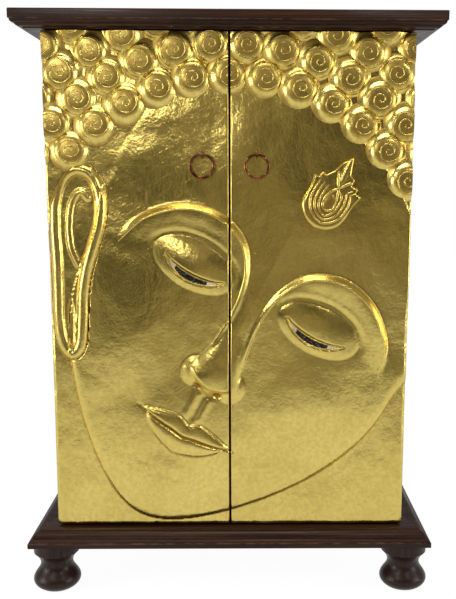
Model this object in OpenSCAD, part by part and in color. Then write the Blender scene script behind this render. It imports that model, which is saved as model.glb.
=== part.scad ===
// Storage cupboard on bun feet, with two carved and gilded doors.
// Millimetres. Z is up, the doors face -Y, and the origin is on the floor under the middle
// of the cupboard's box.

/* [Carcass] */
// Width over the two sides and over the closed doors
body_w = 550; // [500:1:620]
// Height from the floor to the top
height = 900; // [860:1:940]
// Depth of each side, front edge to back edge
side_depth = 302; // [240:1:380]
// Thickness of each side
side_t = 16; // [15:0.5:22]
// Thickness of the back panel
back_t = 6; // [4:0.5:8]
// How far the back panel stays inside each side's outer face
panel_inset = 2; // [1:0.5:4]
// Height of the rail under the top board
rail_h = 40; // [30:1:60]
// Thickness of the rail under the top board
rail_t = 20; // [18:1:26]

/* [Top and plinth] */
// How far the top and the plinth stand out past each side
side_overhang = 43; // [36:1:60]
// How far they stand out in front of the doors
front_overhang = 30; // [24:1:45]
// How far they stand out behind the back panel
back_overhang = 10; // [4:1:20]
// Height of the plain face of the top board's edge
top_face_h = 14.5; // [13:0.5:20]
// Height of the moulding under that face
top_mould_h = 11.5; // [10:0.5:16]
// Height of the plain face of the plinth board's edge
plinth_face_h = 9; // [6:0.5:12]
// Height of the moulding above that face
plinth_mould_h = 16.5; // [15:0.5:20]
// How far the moulding steps back in all
mould_in = 17; // [15:0.5:20]
// Height of each groove of the moulding
quirk_h = 1; // [0.6:0.1:1.4]
// Radius of the moulding's bead
bead_r = 4; // [3:0.25:4.5]
// Radius of the rounding along the plain face's two edges
edge_r = 1.5; // [1:0.25:2]

/* [Feet] */
// Height of a foot, floor to plinth
foot_h = 80.5; // [76:0.5:96]
// Widest radius of the bun
bun_r = 37.5; // [34:0.5:42]
// Height of the bun's widest line
bun_z = 18.5; // [16:0.5:21]
// Radius of the flat spot under the bun
sole_r = 14; // [10:0.5:18]
// Radius of the neck
neck_r = 25.5; // [22:0.5:29]
// Height of the neck
neck_z = 45; // [42:0.5:48]
// Height at which the neck's flare meets the collar
collar_z = 64; // [60:0.5:70]
// Radius of the collar under the plinth
collar_r = 36; // [34:0.5:42]
// Depth of the thin line turned above the neck
line_depth = 0.6; // [0.3:0.1:1]
// Radius of the spigot on top of a foot
spigot_r = 8; // [6:0.5:10]
// Length of the spigot
spigot_len = 18; // [14:0.5:20]

/* [Doors] */
// Thickness of a door at its flat ground
door_t = 20; // [18:0.5:26]
// Gap between the two doors
seam_gap = 3; // [2:0.1:5]
// Gap under the doors
door_gap_bottom = 3; // [2:0.1:5]
// Gap over the doors
door_gap_top = 2; // [1.5:0.1:4]

/* [Carved head] */
// Tilt of the head, its top leaning to the right
head_tilt = 28; // [20:1:34]
// Place of the head's middle, right of the seam
head_x = 16; // [8:1:24]
// Place of the head's middle, above the bottom of the doors
head_z = 321; // [300:1:340]
// Half the height of the face, hairline to chin
face_half_h = 340; // [320:1:350]
// Half the width of the face
face_half_w = 262; // [240:1:275]
// Height of the face's edge above the flat ground
face_edge_h = 5; // [3:0.25:6]
// Rise of the face from its edge to its middle
face_crown_h = 8; // [5:0.25:9]
// Width of the rounding along the face's edge
face_round = 16; // [10:1:24]
// Rise of the nose's tip above the face
nose_h = 13.5; // [9:0.5:14]
// Rise of the brow's crest above the face
brow_h = 6; // [3:0.25:7]
// Depth of the hollow round each eye
socket_depth = 4; // [2:0.25:5]
// Rise of the closed eyelids above that hollow
lid_h = 6.5; // [4:0.25:7]
// Rise of the lips above the face
lip_h = 6.5; // [4:0.25:7]
// Rise of the chin
chin_h = 5; // [2:0.25:6]
// Rise of the cheeks
cheek_h = 4.5; // [2:0.25:6]
// Height of the ear's rim above the flat ground
ear_h = 10.5; // [7:0.5:12]
// Width of the ear
ear_w = 68; // [60:1:72]
// Height of the ear, top of its rim to the tip of its lobe
ear_len = 282; // [250:1:300]
// Place of the ear's left edge, left of the seam
ear_x = 264; // [258:1:266]
// Height of its lobe's tip above the bottom of the doors
ear_z = 280; // [260:1:300]
// Height of the hair under the curls
hair_h = 5; // [4:0.25:7]
// Rise of a curl above the hair
curl_h = 8; // [6:0.25:9]
// Radius of a curl
curl_r = 27; // [24:0.5:29]
// Distance between curls along a row
curl_pitch = 54; // [50:1:58]
// Distance between rows of curls
row_pitch = 45; // [42:1:50]
// Radius of the arch that the lowest row of curls follows
hair_arch_r = 310; // [296:1:320]
// Height of that arch's middle, above the bottom of the doors
hair_arch_z = 391; // [380:1:400]
// Place of the flame ornament's middle, right of the seam
flame_x = 152; // [130:1:160]
// Height of its middle above the bottom of the doors
flame_z = 529; // [510:1:540]
// Lean of the flame ornament
flame_lean = 24; // [16:1:30]
// Width of the flame ornament
flame_w = 80; // [70:1:90]
// Height of the flame ornament
flame_len = 104; // [90:1:110]
// Rise of the flame ornament above the face
flame_h = 4; // [2:0.25:5]
// Size of the carving's coarse facets
facet = 11; // [10:0.5:16]

/* [Eye inlays] */
// Width of an inlay, corner to corner
inlay_w = 100; // [84:1:108]
// Height of an inlay at its middle
inlay_mid_h = 10; // [8:0.5:12]
// Sag of an inlay's lower edge
inlay_sag = 21; // [16:0.5:24]
// Thickness of an inlay
inlay_t = 3; // [2:0.25:4]
// Width of its dark middle
pupil_w = 54; // [40:1:60]
// Clearance round an inlay in its pocket
inlay_gap = 0.1; // [0.05:0.05:0.2]

/* [Ring pulls] */
// Distance of each pull from the seam
pull_x = 41; // [34:1:50]
// Height of the ring's pivot above the bottom of the doors
pull_z = 585; // [560:1:600]
// Radius of the ring, at the middle of its wire
ring_r = 17.3; // [15:0.1:19]
// Radius of the ring's wire
wire_r = 2.2; // [1.8:0.1:2.6]
// Clearance between the wire and its eye
ring_gap = 0.5; // [0.3:0.1:0.8]
// Radius of the eye's own wire
eye_wire_r = 1.4; // [1.2:0.1:1.8]
// Radius of the collar behind the eye
eye_collar_r = 4; // [3:0.1:5]
// Thickness of that collar
eye_collar_t = 1.4; // [1:0.1:2]
// Clearance round that collar in its seat
seat_gap = 0.3; // [0.2:0.05:0.5]
// Depth of the seat below the carved surface
seat_depth = 0.6; // [0.4:0.1:1]
// Radius of the eye's shank
shank_r = 1.6; // [1.4:0.1:2]
// Length of the shank in the door
shank_len = 18; // [12:0.5:20]

/* [Hinges] */
// Height of a hinge
hinge_h = 64; // [50:1:80]
// Distance of each hinge's middle from the door's top or bottom
hinge_inset = 92; // [70:1:120]
// Radius of a hinge's knuckle
knuckle_r = 2.8; // [2.6:0.1:3.2]
// Radius of a hinge's pin
pin_r = 1.4; // [1.2:0.05:1.6]
// Running clearance between the pin and a knuckle
pin_gap = 0.05; // [0.03:0.01:0.09]
// Thickness of a hinge's leaf
leaf_t = 1; // [0.8:0.1:1.2]
// Width of a leaf, from the pin
leaf_w = 14.5; // [13:0.5:15]
// Gap between two closed leaves
leaf_gap = 0.4; // [0.3:0.1:0.6]
// Distance of the pin outside the cupboard's side
pin_out = 0.8; // [0.6:0.1:1]
// Clearance in front, behind and between knuckles
knuckle_gap = 0.4; // [0.3:0.1:0.5]

/* [Catches] */
// Distance of each catch from the seam
catch_x = 30; // [26:1:60]
// Width of a catch's housing
catch_w = 40; // [36:1:46]
// Height of the housing
catch_h = 14; // [12:0.5:16]
// Depth of the housing
catch_d = 15; // [13:0.5:18]
// Width of the magnet
magnet_w = 16; // [12:0.5:20]
// Height of the magnet
magnet_h = 6; // [4:0.5:8]
// Thickness of the strike plate
strike_t = 1; // [0.8:0.1:1.2]
// Gap between the magnet and the strike plate
magnet_gap = 0.3; // [0.2:0.05:0.5]
// How far the strike plate reaches past the magnet
strike_lap = 4; // [3:0.5:6]
// Thickness of the housing's two ears
catch_ear_t = 3; // [2:0.5:4]
// Width of each ear
catch_ear_w = 10; // [8:0.5:12]

/* [Inside] */
// Height of the shelf's underside above the plinth board
shelf_z = 372; // [300:1:440]
// Thickness of the shelf
shelf_t = 16; // [14:0.5:20]
// How far the shelf's front stays behind the doors
shelf_back = 24; // [20:1:40]
// Clearance at each end and at the back of the shelf
shelf_gap = 0.5; // [0.3:0.1:1]
// Height of a shelf batten
batten_h = 20; // [16:1:26]
// Thickness of a shelf batten
batten_t = 14; // [12:1:18]

/* [Fasteners] */
// Radius of a dowel
dowel_r = 4; // [3:0.5:5]
// Length of a dowel
dowel_len = 36; // [30:1:40]
// Radius of a screw's shank
screw_r = 1.5; // [1.2:0.1:1.8]
// Radius of a screw's head
screw_head_r = 2.8; // [2.4:0.1:3]
// Length of a screw
screw_len = 14; // [12:0.5:16]
// Radius of a nail
nail_r = 0.8; // [0.6:0.1:1]
// Length of a nail
nail_len = 22; // [18:1:28]
// Number of nails in each side of the back panel
nails_each = 5; // [4:1:8]
// Clearance round a screw, dowel, nail or spigot in its hole
fit_gap = 0.05; // [0.03:0.01:0.08]
// Extra depth of a blind hole
hole_extra = 0.5; // [0.3:0.1:1]

/* [Hidden] */
$fn = 48;
HINGE_NODES = [
    "left_upper_hinge_body_leaf", "left_upper_hinge_door_leaf", "left_upper_hinge_pin",
    "left_lower_hinge_body_leaf", "left_lower_hinge_door_leaf", "left_lower_hinge_pin",
    "right_upper_hinge_body_leaf", "right_upper_hinge_door_leaf", "right_upper_hinge_pin",
    "right_lower_hinge_body_leaf", "right_lower_hinge_door_leaf", "right_lower_hinge_pin"
];

LEFT = -1;
RIGHT = 1;
UPPER = 1;
LOWER = -1;
FRONT = -1;
BACK = 1;

WOOD = [0.22, 0.15, 0.13];
GILT = [0.80, 0.66, 0.30];
PLY = [0.62, 0.47, 0.32];
COPPER = [0.45, 0.28, 0.22];
STEEL = [0.62, 0.62, 0.64];
SHELL = [0.93, 0.88, 0.84];
BLACK = [0.08, 0.08, 0.09];

// Levels, from the floor up
plinth_t = plinth_face_h + plinth_mould_h;
top_t = top_face_h + top_mould_h;
plinth_top = foot_h + plinth_t;
top_under = height - top_t;
carcass_h = top_under - plinth_top;
door_z0 = plinth_top + door_gap_bottom;
door_z1 = top_under - door_gap_top;

// Planes, from the front to the back
hinge_gap = 2 * leaf_t + leaf_gap;
depth = front_overhang + door_t + hinge_gap + side_depth + back_t + back_overhang;
front_y = -depth / 2;
door_y = front_y + front_overhang;
door_back_y = door_y + door_t;
side_y = door_back_y + hinge_gap;
panel_y = side_y + side_depth;

// Widths
board_w = body_w + 2 * side_overhang;
inner_x = body_w / 2 - side_t;
pin_x = body_w / 2 + pin_out;
pin_y = door_back_y + hinge_gap / 2;

// Places of the catches and the pulls
catch_top = top_under - rail_h;
catch_mid = catch_top - catch_h / 2;
pivot_z = door_z0 + pull_z;
eye_ring_r = wire_r + ring_gap + eye_wire_r;
eye_outer_r = eye_ring_r + eye_wire_r;
screw_sink = leaf_t;

// Rise and fall between 0 and 1
function smooth(t) = let (c = min(1, max(0, t))) c * c * (3 - 2 * c);
// Rounded bump that is 1 at its middle and 0 from its edge outwards
function bump(q) = q >= 1 ? 0 : sqrt(1 - q * q);
// Soft ridge of a given half width
function ridge(d, w) = exp(-(d * d) / (w * w));

// The head's own directions: u across the face, v up it
function head_u(x, z) = (x - head_x) * cos(head_tilt) - (z - door_z0 - head_z) * sin(head_tilt);
function head_v(x, z) = (x - head_x) * sin(head_tilt) + (z - door_z0 - head_z) * cos(head_tilt);
function head_point(u, v) = [
    head_x + u * cos(head_tilt) + v * sin(head_tilt),
    door_z0 + head_z - u * sin(head_tilt) + v * cos(head_tilt)
];

// The face in thirds: hairline to brow, brow to the nose's base, and that to the chin
third = 2 * face_half_h / 3;
brow_v = face_half_h - third;
nose_v = brow_v - third;
eye_v = brow_v - third / 4;
mouth_v = nose_v - third / 3;
eye_u = 2 * face_half_w / 5;
jaw_taper = 0.36;
temple_w = face_half_w * 0.14;
temple_rise = face_half_h * 0.47;
crown_reach = face_half_h * 1.2;
edge_reach = (face_half_h + face_half_w) * 0.48;
lid_u = eye_u * 1.03;
lid_v = eye_v - third * 0.013;
lid_half_w = eye_u * 0.63;
lid_half_h = third * 0.155;
nose_top_w = eye_u * 0.22;
nose_base_w = eye_u * 0.48;
nose_end = third * 0.06;
nose_tip_r = third * 0.13;
nose_tip_v = nose_v + third * 0.12;
brow_u = eye_u * 1.18;
brow_mid_v = brow_v - third * 0.36;
brow_r = eye_u * 0.965;
brow_out_w = third * 0.115;
brow_in_w = third * 0.035;
socket_w = third * 0.2;
lip_half_w = eye_u * 0.76;
lip_half_h = third * 0.065;
chin_v = nose_v - third * 0.74;
chin_r = third * 0.2;
cheek_u = eye_u * 1.355;
cheek_v = nose_v + third * 0.226;
cheek_r = third * 0.29;
ear_rim_w = ear_w * 0.15;

// How far out a point of the face lies, 1 at the outline; the temples run under the hair
function face_rho(u, v) = let (
    e = v > 0 ? 3.4 : 2,
    w = v > 0 ? face_half_w + temple_w * smooth(v / temple_rise)
        : face_half_w * (1 - jaw_taper * pow(v / face_half_h, 2)),
    h = v > 0 ? crown_reach : face_half_h
) pow(pow(abs(u) / w, e) + pow(abs(v) / h, e), 1 / e);
function dome(rho) = let (s = min(1, (1 - rho) * edge_reach / face_round))
    face_edge_h * sqrt(1 - pow(1 - s, 2)) + face_crown_h * pow(1 - pow(rho, 2.4), 0.8);

function nose_width(v) = let (t = min(1, max(0, (brow_mid_v - v) / (brow_mid_v - nose_v))))
    nose_top_w + (nose_base_w - nose_top_w) * pow(t, 2.2);
function nose_rise(u, v) = let (
    t = min(1, max(0, (eye_v - v) / (eye_v - nose_tip_v))),
    along = (0.25 + 0.7 * pow(t, 1.25)) * smooth((brow_v - v) / (brow_v - eye_v))
        * (1 - smooth((nose_v - v) / nose_end))
) nose_h * max(
    along * bump(pow(min(1, abs(u) / nose_width(v)), 1.4)),
    bump(norm([u, v - nose_tip_v]) / nose_tip_r)
);
function brow_rise(u, v) = let (
    d = norm([abs(u) - brow_u, v - brow_mid_v]) - brow_r,
    inner = -d - brow_in_w
) v > brow_mid_v && d > 0 ? brow_h * ridge(d, brow_out_w)
    : (v > brow_mid_v ? brow_h * ridge(d, brow_in_w) : 0)
        - (d < 0 ? socket_depth * smooth(inner / brow_in_w) * ridge(max(0, inner), socket_w) : 0);
function lid_rise(u, v) = lid_h * bump(norm([(abs(u) - lid_u) / lid_half_w, (v - lid_v) / lid_half_h]));
function lip_rise(u, v) = lip_h * max(
    bump(norm([u / lip_half_w, (v - mouth_v - lip_half_h * 0.7) / lip_half_h])),
    bump(norm([u / (lip_half_w * 0.85), (v - mouth_v + lip_half_h) / (lip_half_h * 1.15)]))
);
function chin_rise(u, v) = chin_h * ridge(norm([u, v - chin_v]), chin_r);
function cheek_rise(u, v) = cheek_h * ridge(norm([abs(u) - cheek_u, v - cheek_v]), cheek_r);
function face_height(u, v) = let (rho = face_rho(u, v)) rho >= 1 ? 0 :
    dome(rho) + max(nose_rise(u, v), brow_rise(u, v) + lid_rise(u, v))
    + lip_rise(u, v) + chin_rise(u, v) + cheek_rise(u, v);

// The flame ornament: a leaning drop with its point up
function flame_height(x, z) = let (
    dx = x - flame_x,
    dz = z - door_z0 - flame_z,
    p = dx * cos(flame_lean) - dz * sin(flame_lean),
    t = (dx * sin(flame_lean) + dz * cos(flame_lean)) / flame_len + 0.5,
    w = flame_w / 2 * (t < 0.36 ? bump(1 - max(0, t) / 0.36) : 1 - smooth((t - 0.36) / 0.64))
) t <= 0 || t >= 1 || abs(p) > w ? 0 : flame_h;

// The ear's outline, as shares of its width and its height, from the front of the cheek round
EAR_LINE = [
    [0.85, 0.60], [1, 0.73], [1, 0.87], [0.82, 0.97], [0.5, 1], [0.2, 0.95], [0.03, 0.83], [0, 0.67],
    [0.03, 0.51], [0.03, 0.34], [0.03, 0.18], [0.12, 0.06], [0.31, 0], [0.5, 0.05], [0.56, 0.18],
    [0.59, 0.33], [0.68, 0.46]
];
function ear_corner(i) = let (p = EAR_LINE[i % len(EAR_LINE)]) [p[0] * ear_w - ear_x, p[1] * ear_len + ear_z];
function to_side(p, a, b) = let (d = b - a, t = max(0, min(1, (p - a) * d / (d * d)))) norm(p - a - t * d);
function crosses(p, a, b) = (a[1] > p[1]) != (b[1] > p[1])
    && p[0] < (b[0] - a[0]) * (p[1] - a[1]) / (b[1] - a[1]) + a[0] ? 1 : 0;
function total(list, i = 0) = i >= len(list) ? 0 : list[i] + total(list, i + 1);
function ear_height(x, z) = let (
    p = [x, z - door_z0],
    sides = [for (i = [0:len(EAR_LINE) - 1]) [ear_corner(i), ear_corner(i + 1)]],
    gap = min([for (s = sides) to_side(p, s[0], s[1])]),
    within = total([for (s = sides) crosses(p, s[0], s[1])]) % 2 == 1
) x > ear_w + ear_rim_w - ear_x ? 0 : max(within ? ear_h * 0.4 : 0, ear_h * bump(gap / ear_rim_w));

// The curls: rows on arches round one middle, each row shifted by half a curl
function curl_at(r, s, k) = let (
    row_r = hair_arch_r + k * row_pitch,
    j = round(s * row_r / curl_pitch - (k % 2) / 2) + (k % 2) / 2,
    turn = j * curl_pitch / row_r - s
) bump(norm([r * sin(turn * 180 / PI), r * cos(turn * 180 / PI) - row_r]) / curl_r);
function hair_height(x, z) = let (
    up = z - door_z0 - hair_arch_z,
    r = norm([x, up]),
    s = atan2(x, up) * PI / 180,
    k = max(0, floor((r - hair_arch_r) / row_pitch)),
    curl = up < 0 ? 0 : max(curl_at(r, s, k), curl_at(r, s, k + 1))
) up < 0 || r < hair_arch_r - curl_r ? 0 :
    curl > 0 ? hair_h + curl_h * curl : r > hair_arch_r - curl_r * 0.6 ? hair_h : 0;

function carving(x, z) = let (
    u = head_u(x, z),
    v = head_v(x, z),
    hair = hair_height(x, z)
) hair > 0 ? hair : max(face_height(u, v) + flame_height(x, z), ear_height(x, z));

// Points of the edge moulding, as inset and height, from the plain face to the stepped one
function quarter(i0, h0, ri, rh) = [
    for (a = [0:15:90]) [i0 + ri * (1 - cos(a)), h0 + rh * sin(a)]
];
function edge_profile(face_h, mould_h) = let (
    bead_h = face_h + quirk_h,
    band_h = bead_h + bead_r + quirk_h,
    band_in = 4 * quirk_h + bead_r,
    top_h = face_h + mould_h,
    step_h = top_h - 1.5 * quirk_h
) concat(
    [for (a = [0:30:90]) [edge_r * (1 - sin(a)), edge_r * (1 - cos(a))]],
    quarter(0, face_h - edge_r, edge_r, edge_r),
    [[2 * quirk_h, face_h]],
    quarter(2 * quirk_h, bead_h, bead_r, bead_r),
    [[band_in, bead_h + bead_r]],
    quarter(band_in, band_h, mould_in - quirk_h - band_in, step_h - band_h),
    [[mould_in, step_h], [mould_in, top_h]]
);

// Board with a moulded front edge and moulded ends, its plain face at z = 0
module moulded_board(face_h, mould_h) {
    edge = edge_profile(face_h, mould_h);
    t = face_h + mould_h;
    left = [for (p = edge) [p[0] - board_w / 2, p[1]]];
    right = [for (i = [len(edge) - 1:-1:0]) [board_w / 2 - edge[i][0], edge[i][1]]];
    front = [for (p = edge) [p[0] - depth / 2, p[1]]];
    intersection() {
        rotate([90, 0, 90]) linear_extrude(board_w, center = true)
            polygon(concat(front, [[depth / 2, t], [depth / 2, 0]]));
        rotate([90, 0, 0]) linear_extrude(depth, center = true) polygon(concat(left, right));
    }
}

// Cylinder between two levels of one axis, the axis along Y
module rod_y(x, y0, y1, z, r) {
    translate([x, y0, z]) rotate([-90, 0, 0]) cylinder(r = r, h = y1 - y0);
}

// Box between two corners
module block(low, high) {
    translate(low) cube(high - low);
}

// Countersunk screw along +Z, its head flush at z = 0 and sunk by one leaf
module screw(extra = 0) {
    translate([0, 0, -screw_len]) cylinder(r = screw_r + extra, h = screw_len);
    translate([0, 0, -screw_sink])
        cylinder(r1 = screw_r + extra, r2 = screw_head_r + extra, h = screw_sink);
}

// Dowels: two at each end of each side, and one at each end of the rail
dowel_y = [side_y + side_depth * 0.2, side_y + side_depth * 0.8];
top_dowel_depth = top_t * 0.62;
plinth_dowel_depth = plinth_t * 0.6;
rail_dowel_depth = side_t * 0.6;
rail_dowel_z = top_under - rail_h / 2;
rail_dowel_y = side_y + rail_t / 2;
module dowels(extra = 0, longer = 0) {
    for (side = [LEFT, RIGHT]) {
        for (y = dowel_y) {
            translate([side * (body_w - side_t) / 2, y, top_under + top_dowel_depth - dowel_len - longer])
                cylinder(r = dowel_r + extra, h = dowel_len + 2 * longer);
            translate([side * (body_w - side_t) / 2, y, plinth_top - plinth_dowel_depth - longer])
                cylinder(r = dowel_r + extra, h = dowel_len + 2 * longer);
        }
        translate([side * (inner_x + rail_dowel_depth + longer), rail_dowel_y, rail_dowel_z])
            rotate([0, -side * 90, 0]) cylinder(r = dowel_r + extra, h = dowel_len + 2 * longer);
    }
}

module top_board() {
    color(WOOD) difference() {
        translate([0, 0, top_under + top_t]) mirror([0, 0, 1]) moulded_board(top_face_h, top_mould_h);
        dowels(fit_gap, hole_extra);
    }
}

foot_inset = max(bun_r, collar_r);
foot_x = board_w / 2 - foot_inset;
foot_y = depth / 2 - foot_inset;
module plinth_board() {
    color(WOOD) difference() {
        translate([0, 0, foot_h]) moulded_board(plinth_face_h, plinth_mould_h);
        dowels(fit_gap, hole_extra);
        for (x = [-foot_x, foot_x])
            for (y = [-foot_y, foot_y])
                translate([x, y, foot_h - hole_extra])
                    cylinder(r = spigot_r + fit_gap, h = spigot_len + 2 * hole_extra);
    }
}

// Half outline of a foot, from the floor up
bun_steps = 8;
line_rise = (collar_r - neck_r) * 0.18;
line_z = neck_z + (collar_z - neck_z) * 0.19;
function bun_low(i) = let (a = acos(sole_r / bun_r) * (1 - i / bun_steps))
    [bun_r * cos(a), bun_z * (1 - sin(a) / sin(acos(sole_r / bun_r)))];
function shoulder(i) = let (t = i / bun_steps)
    [bun_r + (neck_r - bun_r) * (1 - cos(180 * t)) / 2, bun_z + (neck_z - bun_z) * t];
function flare(z) = neck_r + (collar_r - neck_r) * ((z - neck_z) / (collar_z - neck_z)) ^ 2;
module foot(x, y) {
    outline = concat(
        [[0, 0]],
        [for (i = [0:bun_steps]) bun_low(i)],
        [for (i = [1:bun_steps]) shoulder(i)],
        [for (i = [1:bun_steps]) let (z = neck_z + (collar_z - neck_z) * i / bun_steps) [flare(z), z]],
        [[collar_r, foot_h], [0, foot_h]]
    );
    color(WOOD) translate([x, y, 0]) {
        difference() {
            rotate_extrude() polygon(outline);
            rotate_extrude() polygon([
                [collar_r, line_z - line_rise], [collar_r, line_z + line_rise],
                [flare(line_z) - line_depth, line_z]
            ]);
        }
        translate([0, 0, foot_h]) cylinder(r = spigot_r, h = spigot_len);
    }
}

function hinge_z(level) = level == UPPER ? door_z1 - hinge_inset : door_z0 + hinge_inset;
hinge_screw_x = pin_x - (leaf_w + knuckle_r) / 2;
hinge_screw_dz = hinge_h * 0.36;
module hinge_screws(side, face_y, facing, extra = 0) {
    for (level = [UPPER, LOWER])
        for (dz = [-hinge_screw_dz, hinge_screw_dz])
            translate([side * hinge_screw_x, face_y, hinge_z(level) + dz])
                rotate([facing * 90, 0, 0]) screw(extra);
}
// Room for the knuckles at the corner of a side or a door
module knuckle_room(side) {
    for (level = [UPPER, LOWER])
        translate([side * pin_x, pin_y, hinge_z(level) - hinge_h / 2 - pin_head_t])
            cylinder(r = knuckle_r + knuckle_gap, h = hinge_h + 2 * pin_head_t);
}

batten_y = [side_y + side_depth * 0.2, panel_y - side_depth * 0.2];
batten_z0 = plinth_top + shelf_z - batten_h;
module batten_screw_set(extra = 0) {
    for (side = [LEFT, RIGHT])
        for (y = batten_y)
            translate([side * (inner_x - batten_t), y, batten_z0 + batten_h / 2])
                rotate([0, -side * 90, 0]) long_screw(extra);
}
batten_screw_len = batten_t + side_t * 0.6;
module long_screw(extra = 0) {
    translate([0, 0, -batten_screw_len]) cylinder(r = screw_r + extra, h = batten_screw_len);
    translate([0, 0, -screw_sink])
        cylinder(r1 = screw_r + extra, r2 = screw_head_r + extra, h = screw_sink);
}

nail_head_r = 2 * nail_r;
nail_head_t = nail_r;
nail_x = body_w / 2 - side_t / 2;
module nails(extra = 0) {
    for (side = [LEFT, RIGHT])
        for (i = [1:nails_each]) {
            z = plinth_top + carcass_h * (i - 0.5) / nails_each;
            rod_y(side * nail_x, panel_y + back_t - nail_len, panel_y + back_t, z, nail_r + extra);
            if (extra == 0)
                rod_y(side * nail_x, panel_y + back_t, panel_y + back_t + nail_head_t, z, nail_head_r);
        }
}

module side_panel(side) {
    x0 = side == LEFT ? -body_w / 2 : inner_x;
    color(WOOD) difference() {
        block([x0, side_y, plinth_top], [x0 + side_t, panel_y, top_under]);
        dowels(fit_gap, hole_extra);
        knuckle_room(side);
        hinge_screws(side, side_y - leaf_t, 1, fit_gap);
        batten_screw_set(fit_gap);
        nails(fit_gap);
    }
}

module back_panel() {
    color(PLY) difference() {
        block([panel_inset - body_w / 2, panel_y, plinth_top],
              [body_w / 2 - panel_inset, panel_y + back_t, top_under]);
        nails(fit_gap);
    }
}

module catch_screw_set(extra = 0) {
    for (side = [LEFT, RIGHT])
        for (dx = [(catch_ear_w - catch_w) / 2, (catch_w - catch_ear_w) / 2])
            translate([side * catch_x + dx, side_y + catch_d / 2, catch_top - catch_ear_t])
                rotate([180, 0, 0]) screw(extra);
}
magnet_front = door_back_y + strike_t + magnet_gap;

module top_rail() {
    color(WOOD) difference() {
        block([-inner_x, side_y, catch_top], [inner_x, side_y + rail_t, top_under]);
        dowels(fit_gap, hole_extra);
        catch_screw_set(fit_gap);
    }
}

module shelf() {
    color(WOOD) block(
        [-inner_x + shelf_gap, side_y + shelf_back, plinth_top + shelf_z],
        [inner_x - shelf_gap, panel_y - shelf_gap, plinth_top + shelf_z + shelf_t]
    );
}

module shelf_batten(side) {
    x0 = side == LEFT ? -inner_x : inner_x - batten_t;
    color(WOOD) difference() {
        block([x0, side_y + shelf_back, batten_z0], [x0 + batten_t, panel_y, batten_z0 + batten_h]);
        batten_screw_set(fit_gap);
    }
}

module catch_housing(side) {
    x = side * catch_x;
    color(BLACK) difference() {
        union() {
            block([x - catch_w / 2, side_y, catch_top - catch_ear_t],
                  [x + catch_w / 2, side_y + catch_d, catch_top]);
            block([x - catch_w / 2 + catch_ear_w, side_y, catch_top - catch_h],
                  [x + catch_w / 2 - catch_ear_w, side_y + catch_d, catch_top]);
        }
        block([x - magnet_w / 2, side_y - leaf_t, catch_mid - magnet_h / 2],
              [x + magnet_w / 2, side_y + catch_d * 0.7, catch_mid + magnet_h / 2]);
        catch_screw_set(fit_gap);
    }
}

module catch_magnet(side) {
    x = side * catch_x;
    color(STEEL) block([x - magnet_w / 2, magnet_front, catch_mid - magnet_h / 2],
                       [x + magnet_w / 2, side_y + catch_d * 0.7, catch_mid + magnet_h / 2]);
}

strike_half_w = magnet_w / 2 + strike_lap;
strike_half_h = magnet_h / 2 + strike_lap;
strike_screw_len = screw_len * 0.8;
module strike_screw(side, extra = 0) {
    translate([side * catch_x, door_back_y + strike_t, catch_mid]) rotate([-90, 0, 0]) {
        translate([0, 0, -strike_screw_len]) cylinder(r = screw_r + extra, h = strike_screw_len);
        translate([0, 0, -strike_t])
            cylinder(r1 = screw_r + extra, r2 = screw_head_r + extra, h = strike_t);
    }
}
module strike_plate(side) {
    x = side * catch_x;
    color(STEEL) difference() {
        block([x - strike_half_w, door_back_y, catch_mid - strike_half_h],
              [x + strike_half_w, door_back_y + strike_t, catch_mid + strike_half_h]);
        strike_screw(side, fit_gap);
    }
}

// Outline of an eye inlay: a crescent between two arcs, in the head's own directions
inlay_low_r = (pow(inlay_w / 2, 2) + pow(inlay_sag, 2)) / (2 * inlay_sag);
inlay_top_sag = inlay_sag - inlay_mid_h;
inlay_top_r = (pow(inlay_w / 2, 2) + pow(inlay_top_sag, 2)) / (2 * inlay_top_sag);
inlay_v = eye_v - lid_half_h * 0.2;
module crescent(extra = 0) {
    difference() {
        translate([0, inlay_low_r - inlay_sag]) circle(r = inlay_low_r + extra);
        translate([0, inlay_top_r - inlay_top_sag]) circle(r = inlay_top_r - extra);
        translate([-2 * inlay_w, 0]) square([4 * inlay_w, 4 * inlay_w]);
    }
}
module at_eye(side, y0, thick) {
    place = head_point(side * eye_u, inlay_v);
    translate([place[0], y0, place[1]]) rotate([0, head_tilt, 0]) rotate([90, 0, 0])
        linear_extrude(thick) children();
}
function inlay_face(side) = let (place = head_point(side * eye_u, inlay_v - inlay_sag * 0.7))
    door_y - carving(place[0], place[1]) + lid_h * 0.4;
module eye_pupil(side) {
    color(BLACK) at_eye(side, inlay_face(side) + inlay_t, inlay_t) intersection() {
        crescent();
        square([pupil_w, 4 * inlay_sag], center = true);
    }
}
module eye_shell(side) {
    color(SHELL) at_eye(side, inlay_face(side) + inlay_t, inlay_t) difference() {
        crescent();
        square([pupil_w + 2 * inlay_gap, 4 * inlay_sag], center = true);
    }
}

// Seat of a pull's collar, a little below the carved surface
function pull_seat(side) = carving(side * pull_x, pivot_z) - seat_depth;
function pivot_y(side) = door_y - pull_seat(side) - eye_collar_t - eye_outer_r;

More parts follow.
